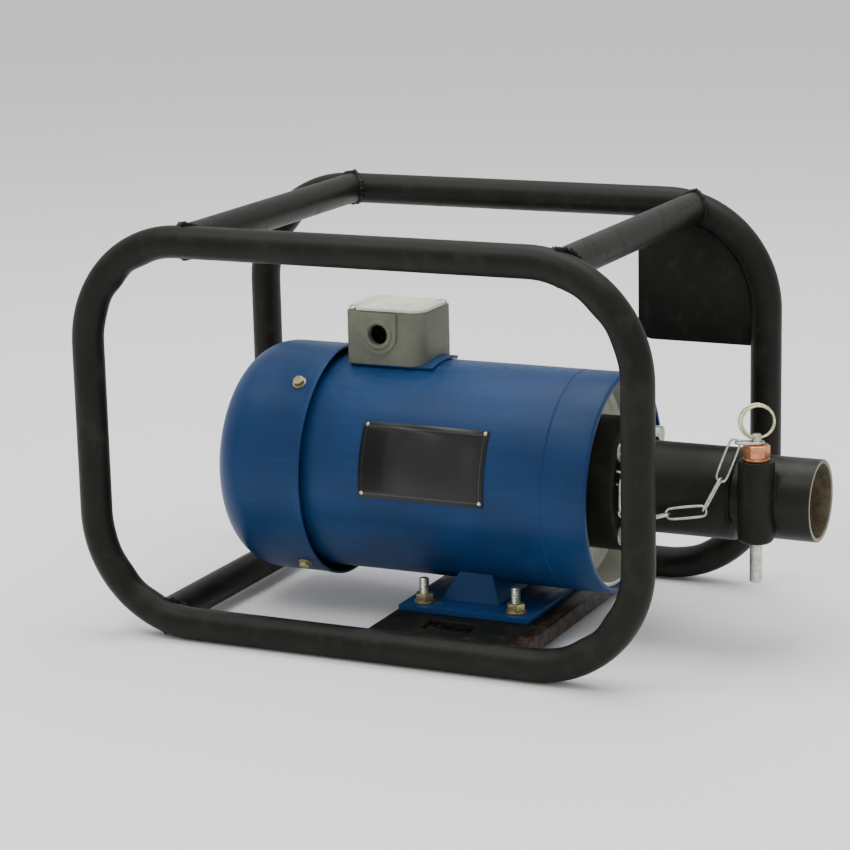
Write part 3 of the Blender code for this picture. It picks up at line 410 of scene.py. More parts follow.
def stacked_sheet(name):
    """The edges of a stack of thin steel sheets."""
    f = Finish(name)
    x, _, _ = f.axes()
    sheet = 0.7 * MM
    layers = f.node("ShaderNodeMath", {"operation": "SINE"}, {0: x * (math.tau / sheet)})
    tone = f.mix(f.noise(60, 4).ramp(0.35, 0.7), (0.11, 0.11, 0.12), (0.24, 0.24, 0.25))
    f.set(Base_Color=tone, Metallic=0.85, Roughness=0.45 + f.noise(200) * 0.2,
          Normal=f.bump(layers, 0.3, 0.15 * MM))
    return f.material


def moulded_plastic(name, base):
    """Finely grained dark plastic."""
    f = Finish(name)
    grain = f.noise(700, 3)
    tone = f.mottled(base, f.noise(40, 4), 0.35, 0.7, 0.8, 1.35)
    f.set(Base_Color=tone, Roughness=0.48 + grain * 0.15, Normal=f.bump(grain, 0.25, 0.2 * MM))
    return f.material


FINISHES = {}


def finish(name):
    """Materials are made once, on first use."""
    tints = colours()
    makers = {
        "frame_black": (black_paint, tints.frame_paint),
        "base_black": (black_paint, tints.frame_paint, 0.75),
        "socket_black": (worn_socket, tints.frame_paint),
        "motor_blue": (blue_enamel, tints.motor_enamel),
        "cast_grey": (cast_grey, tints.box_casting),
        "lid_grey": (cast_grey, tints.lid_paint, 0.3),
        "shield_aluminium": (turned_aluminium, tints.bare_casting),
        "zinc_yellow": (plated, tints.zinc),
        "ring_zinc": (plated, tints.ring_plate, 0.8, 0.24, (0.26, 0.22, 0.10), 0.3),
        "steel": (plated, tints.bare_steel, 0.95, 0.27),
        "copper_head": (plated, tints.copper, 0.85, 0.30, (0.20, 0.08, 0.04), 0.25),
        "plate_black": (dark_foil,),
        "winding_copper": (wound_copper,),
        "lamination": (stacked_sheet,),
        "fan_plastic": (moulded_plastic, (0.02, 0.02, 0.02)),
    }
    if name not in FINISHES:
        make, *settings = makers[name]
        FINISHES[name] = make(name, *settings)
    return FINISHES[name]


# ---------------------------------------------------------------- modelling helpers

def start():
    """Back in object mode with nothing selected."""
    if bpy.context.object and bpy.context.object.mode != "OBJECT":
        bpy.ops.object.mode_set(mode="OBJECT")
    bpy.ops.object.select_all(action="DESELECT")


def only(piece):
    start()
    piece.select_set(True)
    bpy.context.view_layer.objects.active = piece


def clean(threshold=0.005 * MM):
    """In edit mode: joins doubles and turns every face outwards."""
    bpy.ops.mesh.select_all(action="SELECT")
    bpy.ops.mesh.remove_doubles(threshold=threshold)
    bpy.ops.mesh.normals_make_consistent(inside=False)


def settle(name, angle=35):
    """Names the active piece, moves its place into its mesh and smooths its round faces."""
    if bpy.context.object.mode != "OBJECT":
        bpy.ops.object.mode_set(mode="OBJECT")
    piece = bpy.context.object
    piece.name = name
    bpy.ops.object.transform_apply(location=True, rotation=True, scale=True)
    bpy.ops.object.shade_smooth_by_angle(angle=math.radians(angle))
    return piece


def change(piece, kind, **settings):
    """Adds a modifier, sets it and applies it."""
    only(piece)
    modifier = piece.modifiers.new(kind.title(), kind)
    for key, value in settings.items():
        setattr(modifier, key, value)
    bpy.ops.object.modifier_apply(modifier=modifier.name)
    return piece


def carve(piece, *tools, operation="DIFFERENCE"):
    for tool in tools:
        change(piece, "BOOLEAN", object=tool, operation=operation, solver="EXACT")
        bpy.data.objects.remove(tool, do_unlink=True)
    return piece


def soften(piece, width, segments=2, angle=40):
    return change(piece, "BEVEL", width=width, segments=segments, limit_method="ANGLE",
                  angle_limit=math.radians(angle), harden_normals=False)


def place(piece, material, body, *nodes, angle=35):
    """The finished piece gets its material and rides on its body, in the CAD nodes' stead."""
    only(piece)
    bpy.ops.object.shade_smooth_by_angle(angle=math.radians(angle))
    piece.data.materials.clear()
    piece.data.materials.append(finish(material))
    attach(piece, body)
    if nodes:
        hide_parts(*nodes)


def draw(path):
    """Edit mode on a new mesh that is a line through the path's points, all selected."""
    start()
    bpy.ops.mesh.primitive_plane_add(size=MM, location=path[0])
    bpy.ops.object.mode_set(mode="EDIT")
    bpy.ops.mesh.select_all(action="SELECT")
    bpy.ops.mesh.merge(type="CENTER")
    for here, there in zip(path, path[1:]):
        bpy.ops.mesh.extrude_vertices_move(TRANSFORM_OT_translate={"value": there - here})
    bpy.ops.mesh.select_all(action="SELECT")


def rounded(points, radius, steps=4, closed=True):
    """The outline with each corner turned into an arc. A corner's own radius may follow its point."""
    made = []
    count = len(points)
    for i, point in enumerate(points):
        at = Vector(point[:2])
        size = point[2] if len(point) > 2 else radius
        if size == 0 or (not closed and i in (0, count - 1)):
            made.append(at)
            continue
        before, after = Vector(points[i - 1][:2]) - at, Vector(points[(i + 1) % count][:2]) - at
        half = before.angle(after) / 2
        reach = min(size / math.tan(half), before.length * 0.49, after.length * 0.49)
        size = reach * math.tan(half)
        centre = at + (before.normalized() + after.normalized()).normalized() * (size / math.sin(half))
        first = at + before.normalized() * reach - centre
        last = at + after.normalized() * reach - centre
        turn = first.angle_signed(last)
        for k in range(steps + 1):
            made.append(centre + Matrix.Rotation(-turn * k / steps, 2) @ first)
    return made


def turn(name, outline, centre=None, axis="X", steps=96, closed=True, bevel=0.4 * MM):
    """Turns an outline of (along, radius) points round an axis, as on a lathe."""
    centre = AXIS if centre is None else centre
    points = rounded(outline, bevel, closed=closed)
    if closed:
        points.append(points[0])
    if axis == "X":
        path = [Vector((a, centre.y, centre.z + r)) for a, r in points]
        direction = (1, 0, 0)
    else:
        path = [Vector((centre.x + r, centre.y, a)) for a, r in points]
        direction = (0, 0, 1)
    draw(path)
    bpy.ops.mesh.spin(steps=steps, angle=math.tau, center=centre, axis=direction)
    clean()
    return settle(name)


def collar(name, ends, inner, outer, front=None, centre=None, axis="X", steps=96, bevel=0.4 * MM):
    """A plain ring between two places on its axis. front gives its front edges their own rounding."""
    inside, outside = front or (bevel, bevel)
    start_at, end_at = ends
    outline = [(start_at, inner), (end_at, inner, inside), (end_at, outer, outside), (start_at, outer)]
    return turn(name, outline, centre, axis, steps, bevel=bevel)


def prism(name, corners, start_at, end_at, axis="Z"):
    """Extrudes a flat outline along X or Z."""
    order = {"X": lambda p, h: Vector((h, p[0], p[1])), "Z": lambda p, h: Vector((p[0], p[1], h))}[axis]
    path = [order(p, start_at) for p in corners]
    draw(path)
    bpy.ops.mesh.edge_face_add()
    shift = order((0, 0), end_at) - order((0, 0), start_at)
    bpy.ops.mesh.extrude_region_move(TRANSFORM_OT_translate={"value": shift})
    clean()
    return settle(name)


def bar(name, low, high, radius, sides=48):
    """A plain round bar between two points, for cutting holes or as a start."""
    start()
    along = Vector(high) - Vector(low)
    bpy.ops.mesh.primitive_cylinder_add(vertices=sides, radius=radius, depth=along.length,
                                        location=(Vector(low) + Vector(high)) / 2,
                                        rotation=along.to_track_quat("Z", "Y").to_euler())
    return settle(name)


def upright(name, at, low, high, radius, sides=48):
    """A bar along Z through a point, between two heights."""
    return bar(name, (at.x, at.y, low), (at.x, at.y, high), radius, sides)


def level(name, at, rear, front, radius, sides):
    """A bar along X through a point, between two places."""
    return bar(name, (rear, at.y, at.z), (front, at.y, at.z), radius, sides)


def hexagon_head(name, base, direction, height, flats):
    """A hexagon with its corners turned off at 30 degrees."""
    corner = flats / math.sqrt(3)
    turned = corner - flats / 2
    blank = prism(name, [(corner * math.cos(math.tau * k / 6), corner * math.sin(math.tau * k / 6))
                         for k in range(6)], 0, height)
    drop = turned * math.tan(math.radians(30)) * 1.6
    outline = [(0, 0, 0), (0, flats / 2 * 0.96, 0), (drop * 0.7, corner * 1.01, 0),
               (height - drop, corner * 1.01, 0), (height, flats / 2 * 0.94, 0), (height, 0, 0)]
    shape = turn(name + "_turned", outline, ORIGIN, "Z", 48, closed=False, bevel=0)
    carve(blank, shape, operation="INTERSECT")
    soften(blank, 0.18 * MM, 2, 25)
    return stood(blank, base, direction, 30)


def stood(piece, base, direction, smooth):
    """A piece made upright on the origin is moved to base, with its top toward direction."""
    facing = Vector(direction).normalized().to_track_quat("Z", "Y").to_matrix().to_4x4()
    only(piece)
    piece.matrix_world = Matrix.Translation(Vector(base)) @ facing
    return settle(piece.name, smooth)


def joined(piece, *others):
    """One mesh of several, without cutting them."""
    only(piece)
    for other in others:
        other.select_set(True)
    bpy.ops.object.join()
    return bpy.context.object


def refined(node, edge=None, segments=2, dissolve=True):
    """A merged copy of a CAD node with its edges rounded."""
    start()
    piece = NODES[node].copy()
    piece.data = piece.data.copy()
    bpy.context.scene.collection.objects.link(piece)
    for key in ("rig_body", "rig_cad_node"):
        if key in piece:
            del piece[key]
    piece.parent = None
    piece.name = node + "_finished"
    only(piece)
    bpy.ops.object.mode_set(mode="EDIT")
    bpy.ops.mesh.select_all(action="SELECT")
    bpy.ops.mesh.remove_doubles(threshold=0.002 * MM)
    if dissolve:
        bpy.ops.mesh.dissolve_limited(angle_limit=math.radians(1))
    bpy.ops.object.mode_set(mode="OBJECT")
    if edge:
        soften(piece, edge, segments)
    return piece


# ---------------------------------------------------------------- roll frame

def swept_hoop(name, y):
    """A circle of tube pushed straight and spun round each bend in turn, back to its start."""
    size = sizes()
    rings = 10
    left, right = HOOP_LOW.x + TUBE_RADIUS, HOOP_HIGH.x - TUBE_RADIUS
    low, high = HOOP_LOW.z + TUBE_RADIUS, HOOP_HIGH.z - TUBE_RADIUS
    centres = ((right - size.bend, high - size.bend), (left + size.bend, high - size.bend),
               (left + size.bend, low + size.bend), (right - size.bend, low + size.bend))
    start()
    at = Vector((right, y, centres[3][1]))
    bpy.ops.mesh.primitive_circle_add(vertices=40, radius=size.tube / 2, location=at)
    bpy.ops.object.mode_set(mode="EDIT")
    moves = ((0, 0, 1), (-1, 0, 0), (0, 0, -1), (1, 0, 0))
    for k, (cx, cz) in enumerate(centres):
        centre = Vector((cx, y, cz))
        run = (centre - at).dot(Vector(moves[k]))
        for _ in range(rings):
            step = Vector(moves[k]) * (run / rings)
            bpy.ops.mesh.extrude_region_move(TRANSFORM_OT_translate={"value": step})
            at = at + step
        bpy.ops.mesh.spin(steps=30, angle=math.pi / 2, center=centre, axis=(0, 1, 0))
        at = centre + Matrix.Rotation(-math.pi / 2, 3, "Y") @ (at - centre)
    clean(0.02 * MM)
    hoop = settle(name, 60)
    ripple_bends(hoop, centres)
    return hoop


def ripple_bends(hoop, centres):
    """Cold bending leaves a few shallow ripples on the inner side of each bend."""
    size = sizes()
    for vertex in hoop.data.vertices:
        for k, (cx, cz) in enumerate(centres):
            away = Vector((vertex.co.x - cx, vertex.co.z - cz))
            outwards = Vector((1 if k in (0, 3) else -1, 1 if k in (0, 1) else -1))
            if away.x * outwards.x <= 0 or away.y * outwards.y <= 0:
                continue
            turned = math.atan2(abs(away.y), abs(away.x)) / (math.pi / 2)
            inner = max(0.0, (size.bend - away.length) / (size.tube / 2))
            wave = math.sin(turned * math.pi * 7 + k) * math.sin(turned * math.pi) ** 2
            amount = size.crease * (0.75 if k in (0, 3) else 1.0) * wave * inner ** 2
            vertex.co.x += away.x / away.length * amount
            vertex.co.z += away.y / away.length * amount


def weld_ring(name, centre, along, radius, seed):
    """A bead round the joint between a tube and the equal tube that it meets."""
    random.seed(seed)
    start()
    rings, sides = 72, 10
    bpy.ops.mesh.primitive_torus_add(major_radius=radius, minor_radius=sizes().weld, major_segments=rings,
                                     minor_segments=sides, location=ORIGIN)
    bead = bpy.context.object
    rows = [random.uniform(0.8, 1.2) for _ in range(rings)]
    for k, vertex in enumerate(bead.data.vertices):
        around = math.atan2(vertex.co.y, vertex.co.x)
        core = Vector((math.cos(around), math.sin(around), 0)) * radius
        scaly = rows[k // sides] * (1 + 0.16 * math.sin(around * 26))
        saddle = radius - math.sqrt(max(0.0, radius ** 2 - (radius * math.sin(around)) ** 2))
        vertex.co = core + (vertex.co - core) * scaly - Vector((0, 0, saddle))
    turned = Matrix(((1, 0, 0), (0, 0, along), (0, 1, 0))).to_4x4()
    bead.matrix_world = Matrix.Translation(centre) @ turned
    return settle(name, 60)


def cross_tube(node, near_y, far_y, seed):
    """A tube between the hoops, with a bead round each end."""
    radius = sizes().tube / 2
    at = middle(node)
    reach = TUBE_RADIUS * 0.35
    tube = bar(node + "_tube", (at.x, near_y + reach, at.z), (at.x, far_y - reach, at.z), radius)
    for name, y, along in (("near", near_y + TUBE_RADIUS, 1), ("far", far_y - TUBE_RADIUS, -1)):
        bead = weld_ring(f"{node}_{name}_weld", Vector((at.x, y, at.z)), along, radius, seed)
        tube = joined(tube, bead)
        seed += 1
    place(tube, "frame_black", "root", node, angle=50)


class DRIVE_OT_roll_frame(bpy.types.Operator):
    """Bends the two hoops and welds the cross tubes between them"""
    bl_idname = "drive_unit.roll_frame"
    bl_label = "Roll Frame"

    def execute(self, context):
        near_y, far_y = middle("near_hoop").y, middle("far_hoop").y
        for node, y in (("near_hoop", near_y), ("far_hoop", far_y)):
            place(swept_hoop(node + "_bent", y), "frame_black", "root", node, angle=60)
        for seed, node in enumerate(("rear_top_tube", "front_top_tube", "rear_bottom_tube")):
            cross_tube(node, near_y, far_y, 10 * seed)
        return {"FINISHED"}


def seam_bead(name, path, radius, seed, smooth=50):
    """A weld bead along a line of points, with the ripples of its puddles."""
    random.seed(seed)
    made = bpy.data.curves.new(name, "CURVE")
    made.dimensions = "3D"
    made.bevel_depth = radius
    made.bevel_resolution = 3
    made.use_fill_caps = True
    spline = made.splines.new("POLY")
    spline.points.add(len(path) - 1)
    for k, (point, at) in enumerate(zip(spline.points, path)):
        point.co = (*at, 1)
        point.radius = random.uniform(0.85, 1.1) * (1 + 0.18 * math.sin(k * 2.1))
    bead = bpy.data.objects.new(name, made)
    bpy.context.scene.collection.objects.link(bead)
    only(bead)
    bpy.ops.object.convert(target="MESH")
    return settle(name, smooth)


class DRIVE_OT_plates(bpy.types.Operator):
    """Folds the base plate and cuts the switch plate"""
    bl_idname = "drive_unit.plates"
    bl_label = "Base and Switch Plates"

    def execute(self, context):
        size = sizes()
        base = refined("base_plate", size.edge * 1.4, 3)
        low, high = span("base_plate")
        beads = []
        for side, y in (("near", low.y + 1.5 * MM), ("far", high.y - 1.5 * MM)):
            for part, first in enumerate((low.x + 6 * MM, middle("base_plate").x + 10 * MM)):
                path = [Vector((first + 2 * MM * k, y, high.z + 0.3 * MM)) for k in range(28)]
                beads.append(seam_bead(f"base_{side}_weld_{part}", path, size.weld, 40 + part))
        place(joined(base, *beads), "base_black", "root", "base_plate", angle=40)
        place(refined("switch_plate", size.edge * 0.7), "frame_black", "root", "switch_plate")
        return {"FINISHED"}


# ---------------------------------------------------------------- motor

class DRIVE_OT_motor_shell(bpy.types.Operator):
    """Turns the motor's rolled shell with its joint line and rounded rim"""
    bl_idname = "drive_unit.motor_shell"
    bl_label = "Motor Shell"

    wall = 4.5 * MM
    joint = 36 * MM         # the joint line's distance from the front
    groove = 0.45 * MM

    def execute(self, context):
        rear, front = SHELL_LOW.x, SHELL_HIGH.x
        inner = SHELL_RADIUS - self.wall
        seam = front - self.joint
        dip = self.groove
        outline = [(rear, inner, 0), (front, inner, 0.3 * MM), (front, SHELL_RADIUS, 4 * MM),
                   (seam + 2 * dip, SHELL_RADIUS, 0.4 * MM), (seam, SHELL_RADIUS - dip, 0.2 * MM),
                   (seam - 2 * dip, SHELL_RADIUS, 0.4 * MM), (rear, SHELL_RADIUS, 0.5 * MM)]
        shell = turn("motor_shell_rolled", outline, steps=160)
        place(shell, "motor_blue", "root", "motor_shell")
        return {"FINISHED"}


class DRIVE_OT_front_endshield(bpy.types.Operator):
    """Turns the front endshield with its rim, recess and bearing seat"""
    bl_idname = "drive_unit.front_endshield"
    bl_label = "Front Endshield"

    recess = 29.5 * MM      # the face's depth behind the shell's front
    web = 12 * MM
    wall = 3.2 * MM
    step = 8 * MM
    hub = 28 * MM
    bearing = 20.3 * MM
    bore = 9.1 * MM

    def execute(self, context):
        low, high = span("front_endshield")
        rim = half_width("front_endshield")
        face = SHELL_HIGH.x - self.recess
        rear = face - self.web
        outline = [(high.x, rim, 0.5 * MM), (low.x, rim, 0.3 * MM), (low.x, rim - self.wall, 0.3 * MM),
                   (rear, rim - self.wall, 2 * MM), (rear, self.hub, 2 * MM),
                   (rear - self.step, self.hub, 0.5 * MM), (rear - self.step, self.bearing, 0.3 * MM),
                   (face - self.step, self.bearing, 0.3 * MM), (face - self.step, self.bore, 0.2 * MM),
                   (face, self.bore, 0.5 * MM), (face, 60 * MM, 0.8 * MM),
                   (face - 2.5 * MM, 62 * MM, 2 * MM), (face - 2.5 * MM, rim - 8 * MM, 2.5 * MM),
                   (face, rim - 4.6 * MM, 1 * MM), (high.x, rim - 3.4 * MM, 0.5 * MM)]
        shield = turn("front_endshield_turned", outline, steps=128)
        places = [middle(f"flange_bolt_{k}") for k in range(1, 5)]
        carve(shield, *[level("bolt_hole", at, low.x - MM, high.x + MM, BOLT_HOLE, 32) for at in places])
        place(shield, "shield_aluminium", "root", "front_endshield")
        return {"FINISHED"}


class DRIVE_OT_fan_cowl(bpy.types.Operator):
    """Draws the fan cowl, cuts its air slots and fits its four screws"""
    bl_idname = "drive_unit.fan_cowl"
    bl_label = "Fan Cowl"

    slots = 10
    corner = 34 * MM
    sheet = 1.6 * MM
    slot_reaches = ((46.5 * MM, 1), (19.5 * MM, -1))
    slot_end = 3.5 * MM

    def execute(self, context):
        low, high = span("fan_cowl")
        radius = half_width("fan_cowl")
        inner = radius - self.sheet
        lip = 0.7 * MM
        outline = [(low.x, 0, 0), (low.x, radius, self.corner), (high.x - 5 * MM, radius, 1 * MM),
                   (high.x - 4 * MM, radius + lip, 0.8 * MM), (high.x, radius + lip, 0.5 * MM),
                   (high.x, inner + lip, 0.3 * MM), (high.x - 4.2 * MM, inner + lip, 0.6 * MM),
                   (high.x - 5.2 * MM, inner, 0.6 * MM),
                   (low.x + self.sheet, inner, self.corner - self.sheet), (low.x + self.sheet, 0, 0)]
        cowl = turn("fan_cowl_drawn", self.fine(outline), steps=144, closed=False)
        place(self.slotted(cowl, low), "motor_blue", "root", "fan_cowl", angle=40)
        for k in range(1, 5):
            self.screw(k, radius)
        return {"FINISHED"}

    def fine(self, outline):
        """The large corners as arcs of many steps; the rest stays for the lathe to round."""
        made = []
        for i, point in enumerate(outline):
            if point[2] < self.corner / 2:
                made.append(point)
                continue
            three = [outline[i - 1], point, outline[i + 1]]
            arc = rounded(three, point[2], 16, closed=False)[1:-1]
            made += [(p.x, p.y, 0) for p in arc]
        return made

    def slotted(self, cowl, low):
        for k in range(self.slots):
            angle = math.tau * (k + 0.5) / self.slots
            out = Vector((math.cos(angle), math.sin(angle)))
            side = Vector((-out.y, out.x))
            hub = Vector((AXIS.y, AXIS.z))
            ends = []
            for reach, sign in self.slot_reaches:
                centre = hub + out * reach
                for j in range(9):
                    sweep = math.pi * (j / 8 - 0.5)
                    round_end = out * math.cos(sweep) + side * math.sin(sweep)
                    ends.append(centre + round_end * (sign * self.slot_end))
            carve(cowl, prism("air_slot", ends, low.x - MM, low.x + 3 * MM, "X"))
        return cowl

    def screw(self, k, radius):
        node = f"cowl_screw_{k}"
        at = middle(node)
        out = Vector((0, at.y - AXIS.y, at.z - AXIS.z)).normalized()
        base = Vector((at.x, AXIS.y, AXIS.z)) + out * radius
        washer = bar(node + "_washer", base - out * 0.1 * MM, base + out * 0.9 * MM, 5.6 * MM, 40)
        soften(washer, 0.25 * MM)
        head = hexagon_head(node + "_head", base + out * 0.8 * MM, out, 3.6 * MM, 8 * MM)
        shank = bar(node + "_shank", base - out * 7 * MM, base + out * 1.2 * MM, 2.5 * MM, 24)
        place(joined(head, washer, shank), "zinc_yellow", "root", node, angle=30)


class DRIVE_OT_motor_foot(bpy.types.Operator):
    """Presses the motor's foot and bolts it down"""
    bl_idname = "drive_unit.motor_foot"
    bl_label = "Motor Foot"

    pitch = 1.25 * MM
    thread = 0.55 * MM      # its depth

    def execute(self, context):
        place(refined("motor_foot", 0.9 * MM, 3), "motor_blue", "root", "motor_foot", angle=40)
        for k in range(1, 5):
            self.bolt(k)
            self.nut(k)
        return {"FINISHED"}

    def bolt(self, k):
        low, high = span(f"foot_bolt_{k}")
        centre = middle(f"foot_nut_{k}")
        foot, top = low.z + 5 * MM, high.z
        threads = int((top - low.z - 12 * MM) / self.pitch)
        base = top - threads * self.pitch - 0.8 * MM
        outline = [(foot, 0, 0), (foot, BOLT_RADIUS, 0)]
        for j in range(threads):
            outline += [(base + j * self.pitch, BOLT_RADIUS, 0),
                        (base + (j + 0.5) * self.pitch, BOLT_RADIUS - self.thread, 0)]
        outline += [(top - 0.8 * MM, BOLT_RADIUS - 0.2 * MM, 0), (top, BOLT_RADIUS - 0.9 * MM, 0),
                    (top, 0, 0)]
        stud = turn(f"foot_bolt_{k}_stud", outline, centre, "Z", 32, closed=False, bevel=0)
        head = hexagon_head(f"foot_bolt_{k}_head", (centre.x, centre.y, low.z + 5.5 * MM), (0, 0, -1),
                            5.5 * MM, BOLT_FLATS)
        place(joined(head, stud), "steel", "root", f"foot_bolt_{k}", angle=30)

    def nut(self, k):
        low, high = span(f"foot_nut_{k}")
        centre = middle(f"foot_nut_{k}")
        washer = collar(f"foot_washer_{k}", (low.z, low.z + 1.4 * MM), BOLT_HOLE, 8.4 * MM,
                        centre=centre, axis="Z", steps=48, bevel=0.2 * MM)
        body = hexagon_head(f"foot_nut_{k}_hex", (centre.x, centre.y, low.z + 1.3 * MM), (0, 0, 1),
                            6.5 * MM, BOLT_FLATS)
        carve(body, upright("nut_bore", centre, low.z - MM, high.z + 4 * MM, 4.2 * MM, 40))
        place(joined(body, washer), "zinc_yellow", "root", f"foot_nut_{k}", angle=30)


class DRIVE_OT_terminal_box(bpy.types.Operator):
    """Casts the terminal box, its lid and its seat"""
    bl_idname = "drive_unit.terminal_box"
    bl_label = "Terminal Box"

    def execute(self, context):
        box = refined("terminal_box", 1.1 * MM, 3)
        low, high = span("terminal_box")
        hole = Vector((low.x + 28.85 * MM, low.y, high.z - 18.1 * MM))
        rim = self.conduit_rim(hole)
        place(joined(box, rim), "cast_grey", "root", "terminal_box", angle=40)
        place(refined("terminal_lid", sizes().edge), "lid_grey", "root", "terminal_lid")
        place(refined("terminal_seat", 0.6 * MM), "motor_blue", "root", "terminal_seat")
        for k in (1, 2):
            self.lid_screw(k)
        return {"FINISHED"}

    def conduit_rim(self, hole):
        """The raised ring round the conduit hole."""
        start()
        bpy.ops.mesh.primitive_torus_add(major_radius=10.3 * MM, minor_radius=1.9 * MM, major_segments=64,
                                         minor_segments=16, location=hole, rotation=(math.pi / 2, 0, 0))
        bpy.ops.object.mode_set(mode="EDIT")
        bpy.ops.mesh.select_all(action="SELECT")
        bpy.ops.transform.resize(value=(1, 0.62, 1), center_override=hole)
        return settle("conduit_rim", 60)

    def lid_screw(self, k):
        """A cheese-headed screw with a cross of two slots."""
        low, high = span(f"lid_screw_{k}")
        at = middle(f"lid_screw_{k}")
        shank, head, top = 2 * MM, 3.3 * MM, high.z
        under = top - 2.8 * MM
        outline = [(low.z, 0, 0), (low.z, shank, 0.2 * MM), (under, shank, 0), (under, head, 0.3 * MM),
                   (top - 1 * MM, head, 0.8 * MM), (top, 2 * MM, 0.6 * MM), (top, 0, 0)]
        screw = turn(f"lid_screw_{k}_turned", outline, at, "Z", 40, closed=False)
        long, short = 2.4 * MM, 0.4 * MM
        slots = []
        for name, wide, tall in (("slot_a", long, short), ("slot_b", short, long)):
            corners = [(at.x + x * wide, at.y + y * tall) for x, y in ((-1, -1), (1, -1), (1, 1), (-1, 1))]
            slots.append(prism(name, corners, top - 1.2 * MM, top + MM))
        carve(screw, *slots)
        place(screw, "steel", "root", f"lid_screw_{k}", angle=30)


class DRIVE_OT_nameplate(bpy.types.Operator):
    """Rivets the blank nameplate to the shell"""
    bl_idname = "drive_unit.nameplate"
    bl_label = "Nameplate"

    def execute(self, context):
        low, high = span("nameplate")
        place(refined("nameplate", dissolve=False), "plate_black", "root", "nameplate", angle=40)
        rivets = []
        for x in (low.x + 3 * MM, high.x - 3 * MM):
            for z in (low.z + 3.2 * MM, high.z - 2.6 * MM):
                rise = z - AXIS.z
                out = Vector((0, -math.sqrt(SHELL_RADIUS ** 2 - rise ** 2), rise)).normalized()
                base = Vector((x, AXIS.y, AXIS.z)) + out * (SHELL_RADIUS + 0.9 * MM)
                rivets.append(self.rivet(base, out))
        place(joined(*rivets), "steel", "root")
        return {"FINISHED"}

    def rivet(self, base, out):
        head = turn("nameplate_rivets", [(-0.3 * MM, 0, 0), (-0.3 * MM, 1.7 * MM, 0.1 * MM),
                                         (0.35 * MM, 1.5 * MM, 0.6 * MM), (0.8 * MM, 0, 0)],
                    ORIGIN, "Z", 20, closed=False, bevel=0.3 * MM)
        return stood(head, base, out, 50)


# ---------------------------------------------------------------- coupling

class DRIVE_OT_coupling(bpy.types.Operator):
    """Turns the flange and the two tubes of the coupling, with their welds and bolts"""
    bl_idname = "drive_unit.coupling"
    bl_label = "Coupling"

    def execute(self, context):
        weld = sizes().weld
        faces = {node: [end.x for end in span(node)] for node in ("coupling_flange", "coupling_tube",
                                                                 "socket_tube")}
        flange, tube, socket = faces.values()
        flange_r, tube_r, socket_r = [half_width(node) for node in faces]
        ring = collar("coupling_flange_turned", flange, tube_r + 0.3 * MM, flange_r, (0.4 * MM, 1.2 * MM),
                      steps=128)
        bead = turn("flange_weld", self.fillet(flange[1], tube_r, weld * 1.6), steps=128, bevel=0)
        self.ripple(bead, 3)
        place(joined(ring, bead), "frame_black", "root", "coupling_flange")
        pipe = collar("coupling_tube_turned", tube, tube_r - 3.7 * MM, tube_r, (0.5 * MM, 1.0 * MM),
                      steps=112)
        bead = turn("socket_weld", self.fillet(tube[1], socket_r, weld * 1.1), steps=112, bevel=0)
        self.ripple(bead, 4)
        place(joined(pipe, bead), "frame_black", "root", "coupling_tube")
        mouth = collar("socket_tube_turned", socket, socket_r - SOCKET_WALL, socket_r, (0.8 * MM, 0.7 * MM),
                       steps=112)
        reach = 45 * MM
        carve(mouth, upright("pin_path", middle("lock_pin"), AXIS.z - reach, AXIS.z + reach, PIN_HOLE))
        place(mouth, "socket_black", "root", "socket_tube")
        for k in range(1, 5):
            self.bolt(k, flange[1])
        return {"FINISHED"}

    def fillet(self, x, radius, leg):
        """The outline of a weld between a face at x and a tube of that radius."""
        rear, foot = x - 0.5 * MM, radius - 0.6 * MM
        return [(rear, foot), (x + leg, foot), (x + leg * 0.95, radius + 0.15 * MM),
                (x + leg * 0.62, radius + leg * 0.45), (x + leg * 0.3, radius + leg * 0.8),
                (rear, radius + leg)]

    def ripple(self, bead, seed):
        """The bead swells and shrinks a little round its joint."""
        random.seed(seed)
        phase = random.uniform(0, math.tau)
        for vertex in bead.data.vertices:
            y, z = vertex.co.y - AXIS.y, vertex.co.z - AXIS.z
            around = math.atan2(z, y)
            vertex.co.x += 0.25 * MM * math.sin(around * 37 + phase) + 0.2 * MM * math.sin(around * 11)

    def bolt(self, k, face):
        at = middle(f"flange_bolt_{k}")
        low, high = span(f"flange_bolt_{k}")
        washer = collar(f"flange_washer_{k}", (face, face + 1.4 * MM), BOLT_HOLE, 7.9 * MM,
                        centre=Vector((0, at.y, at.z)), steps=40, bevel=0.2 * MM)
        seat = face + 1.3 * MM
        head = hexagon_head(f"flange_bolt_{k}_hex", (seat, at.y, at.z), (1, 0, 0), high.x - seat, BOLT_FLATS)
        shank = level(f"flange_bolt_{k}_shank", at, low.x, face + 2 * MM, BOLT_RADIUS, 24)
        place(joined(head, washer, shank), "steel", "root", f"flange_bolt_{k}", angle=30)


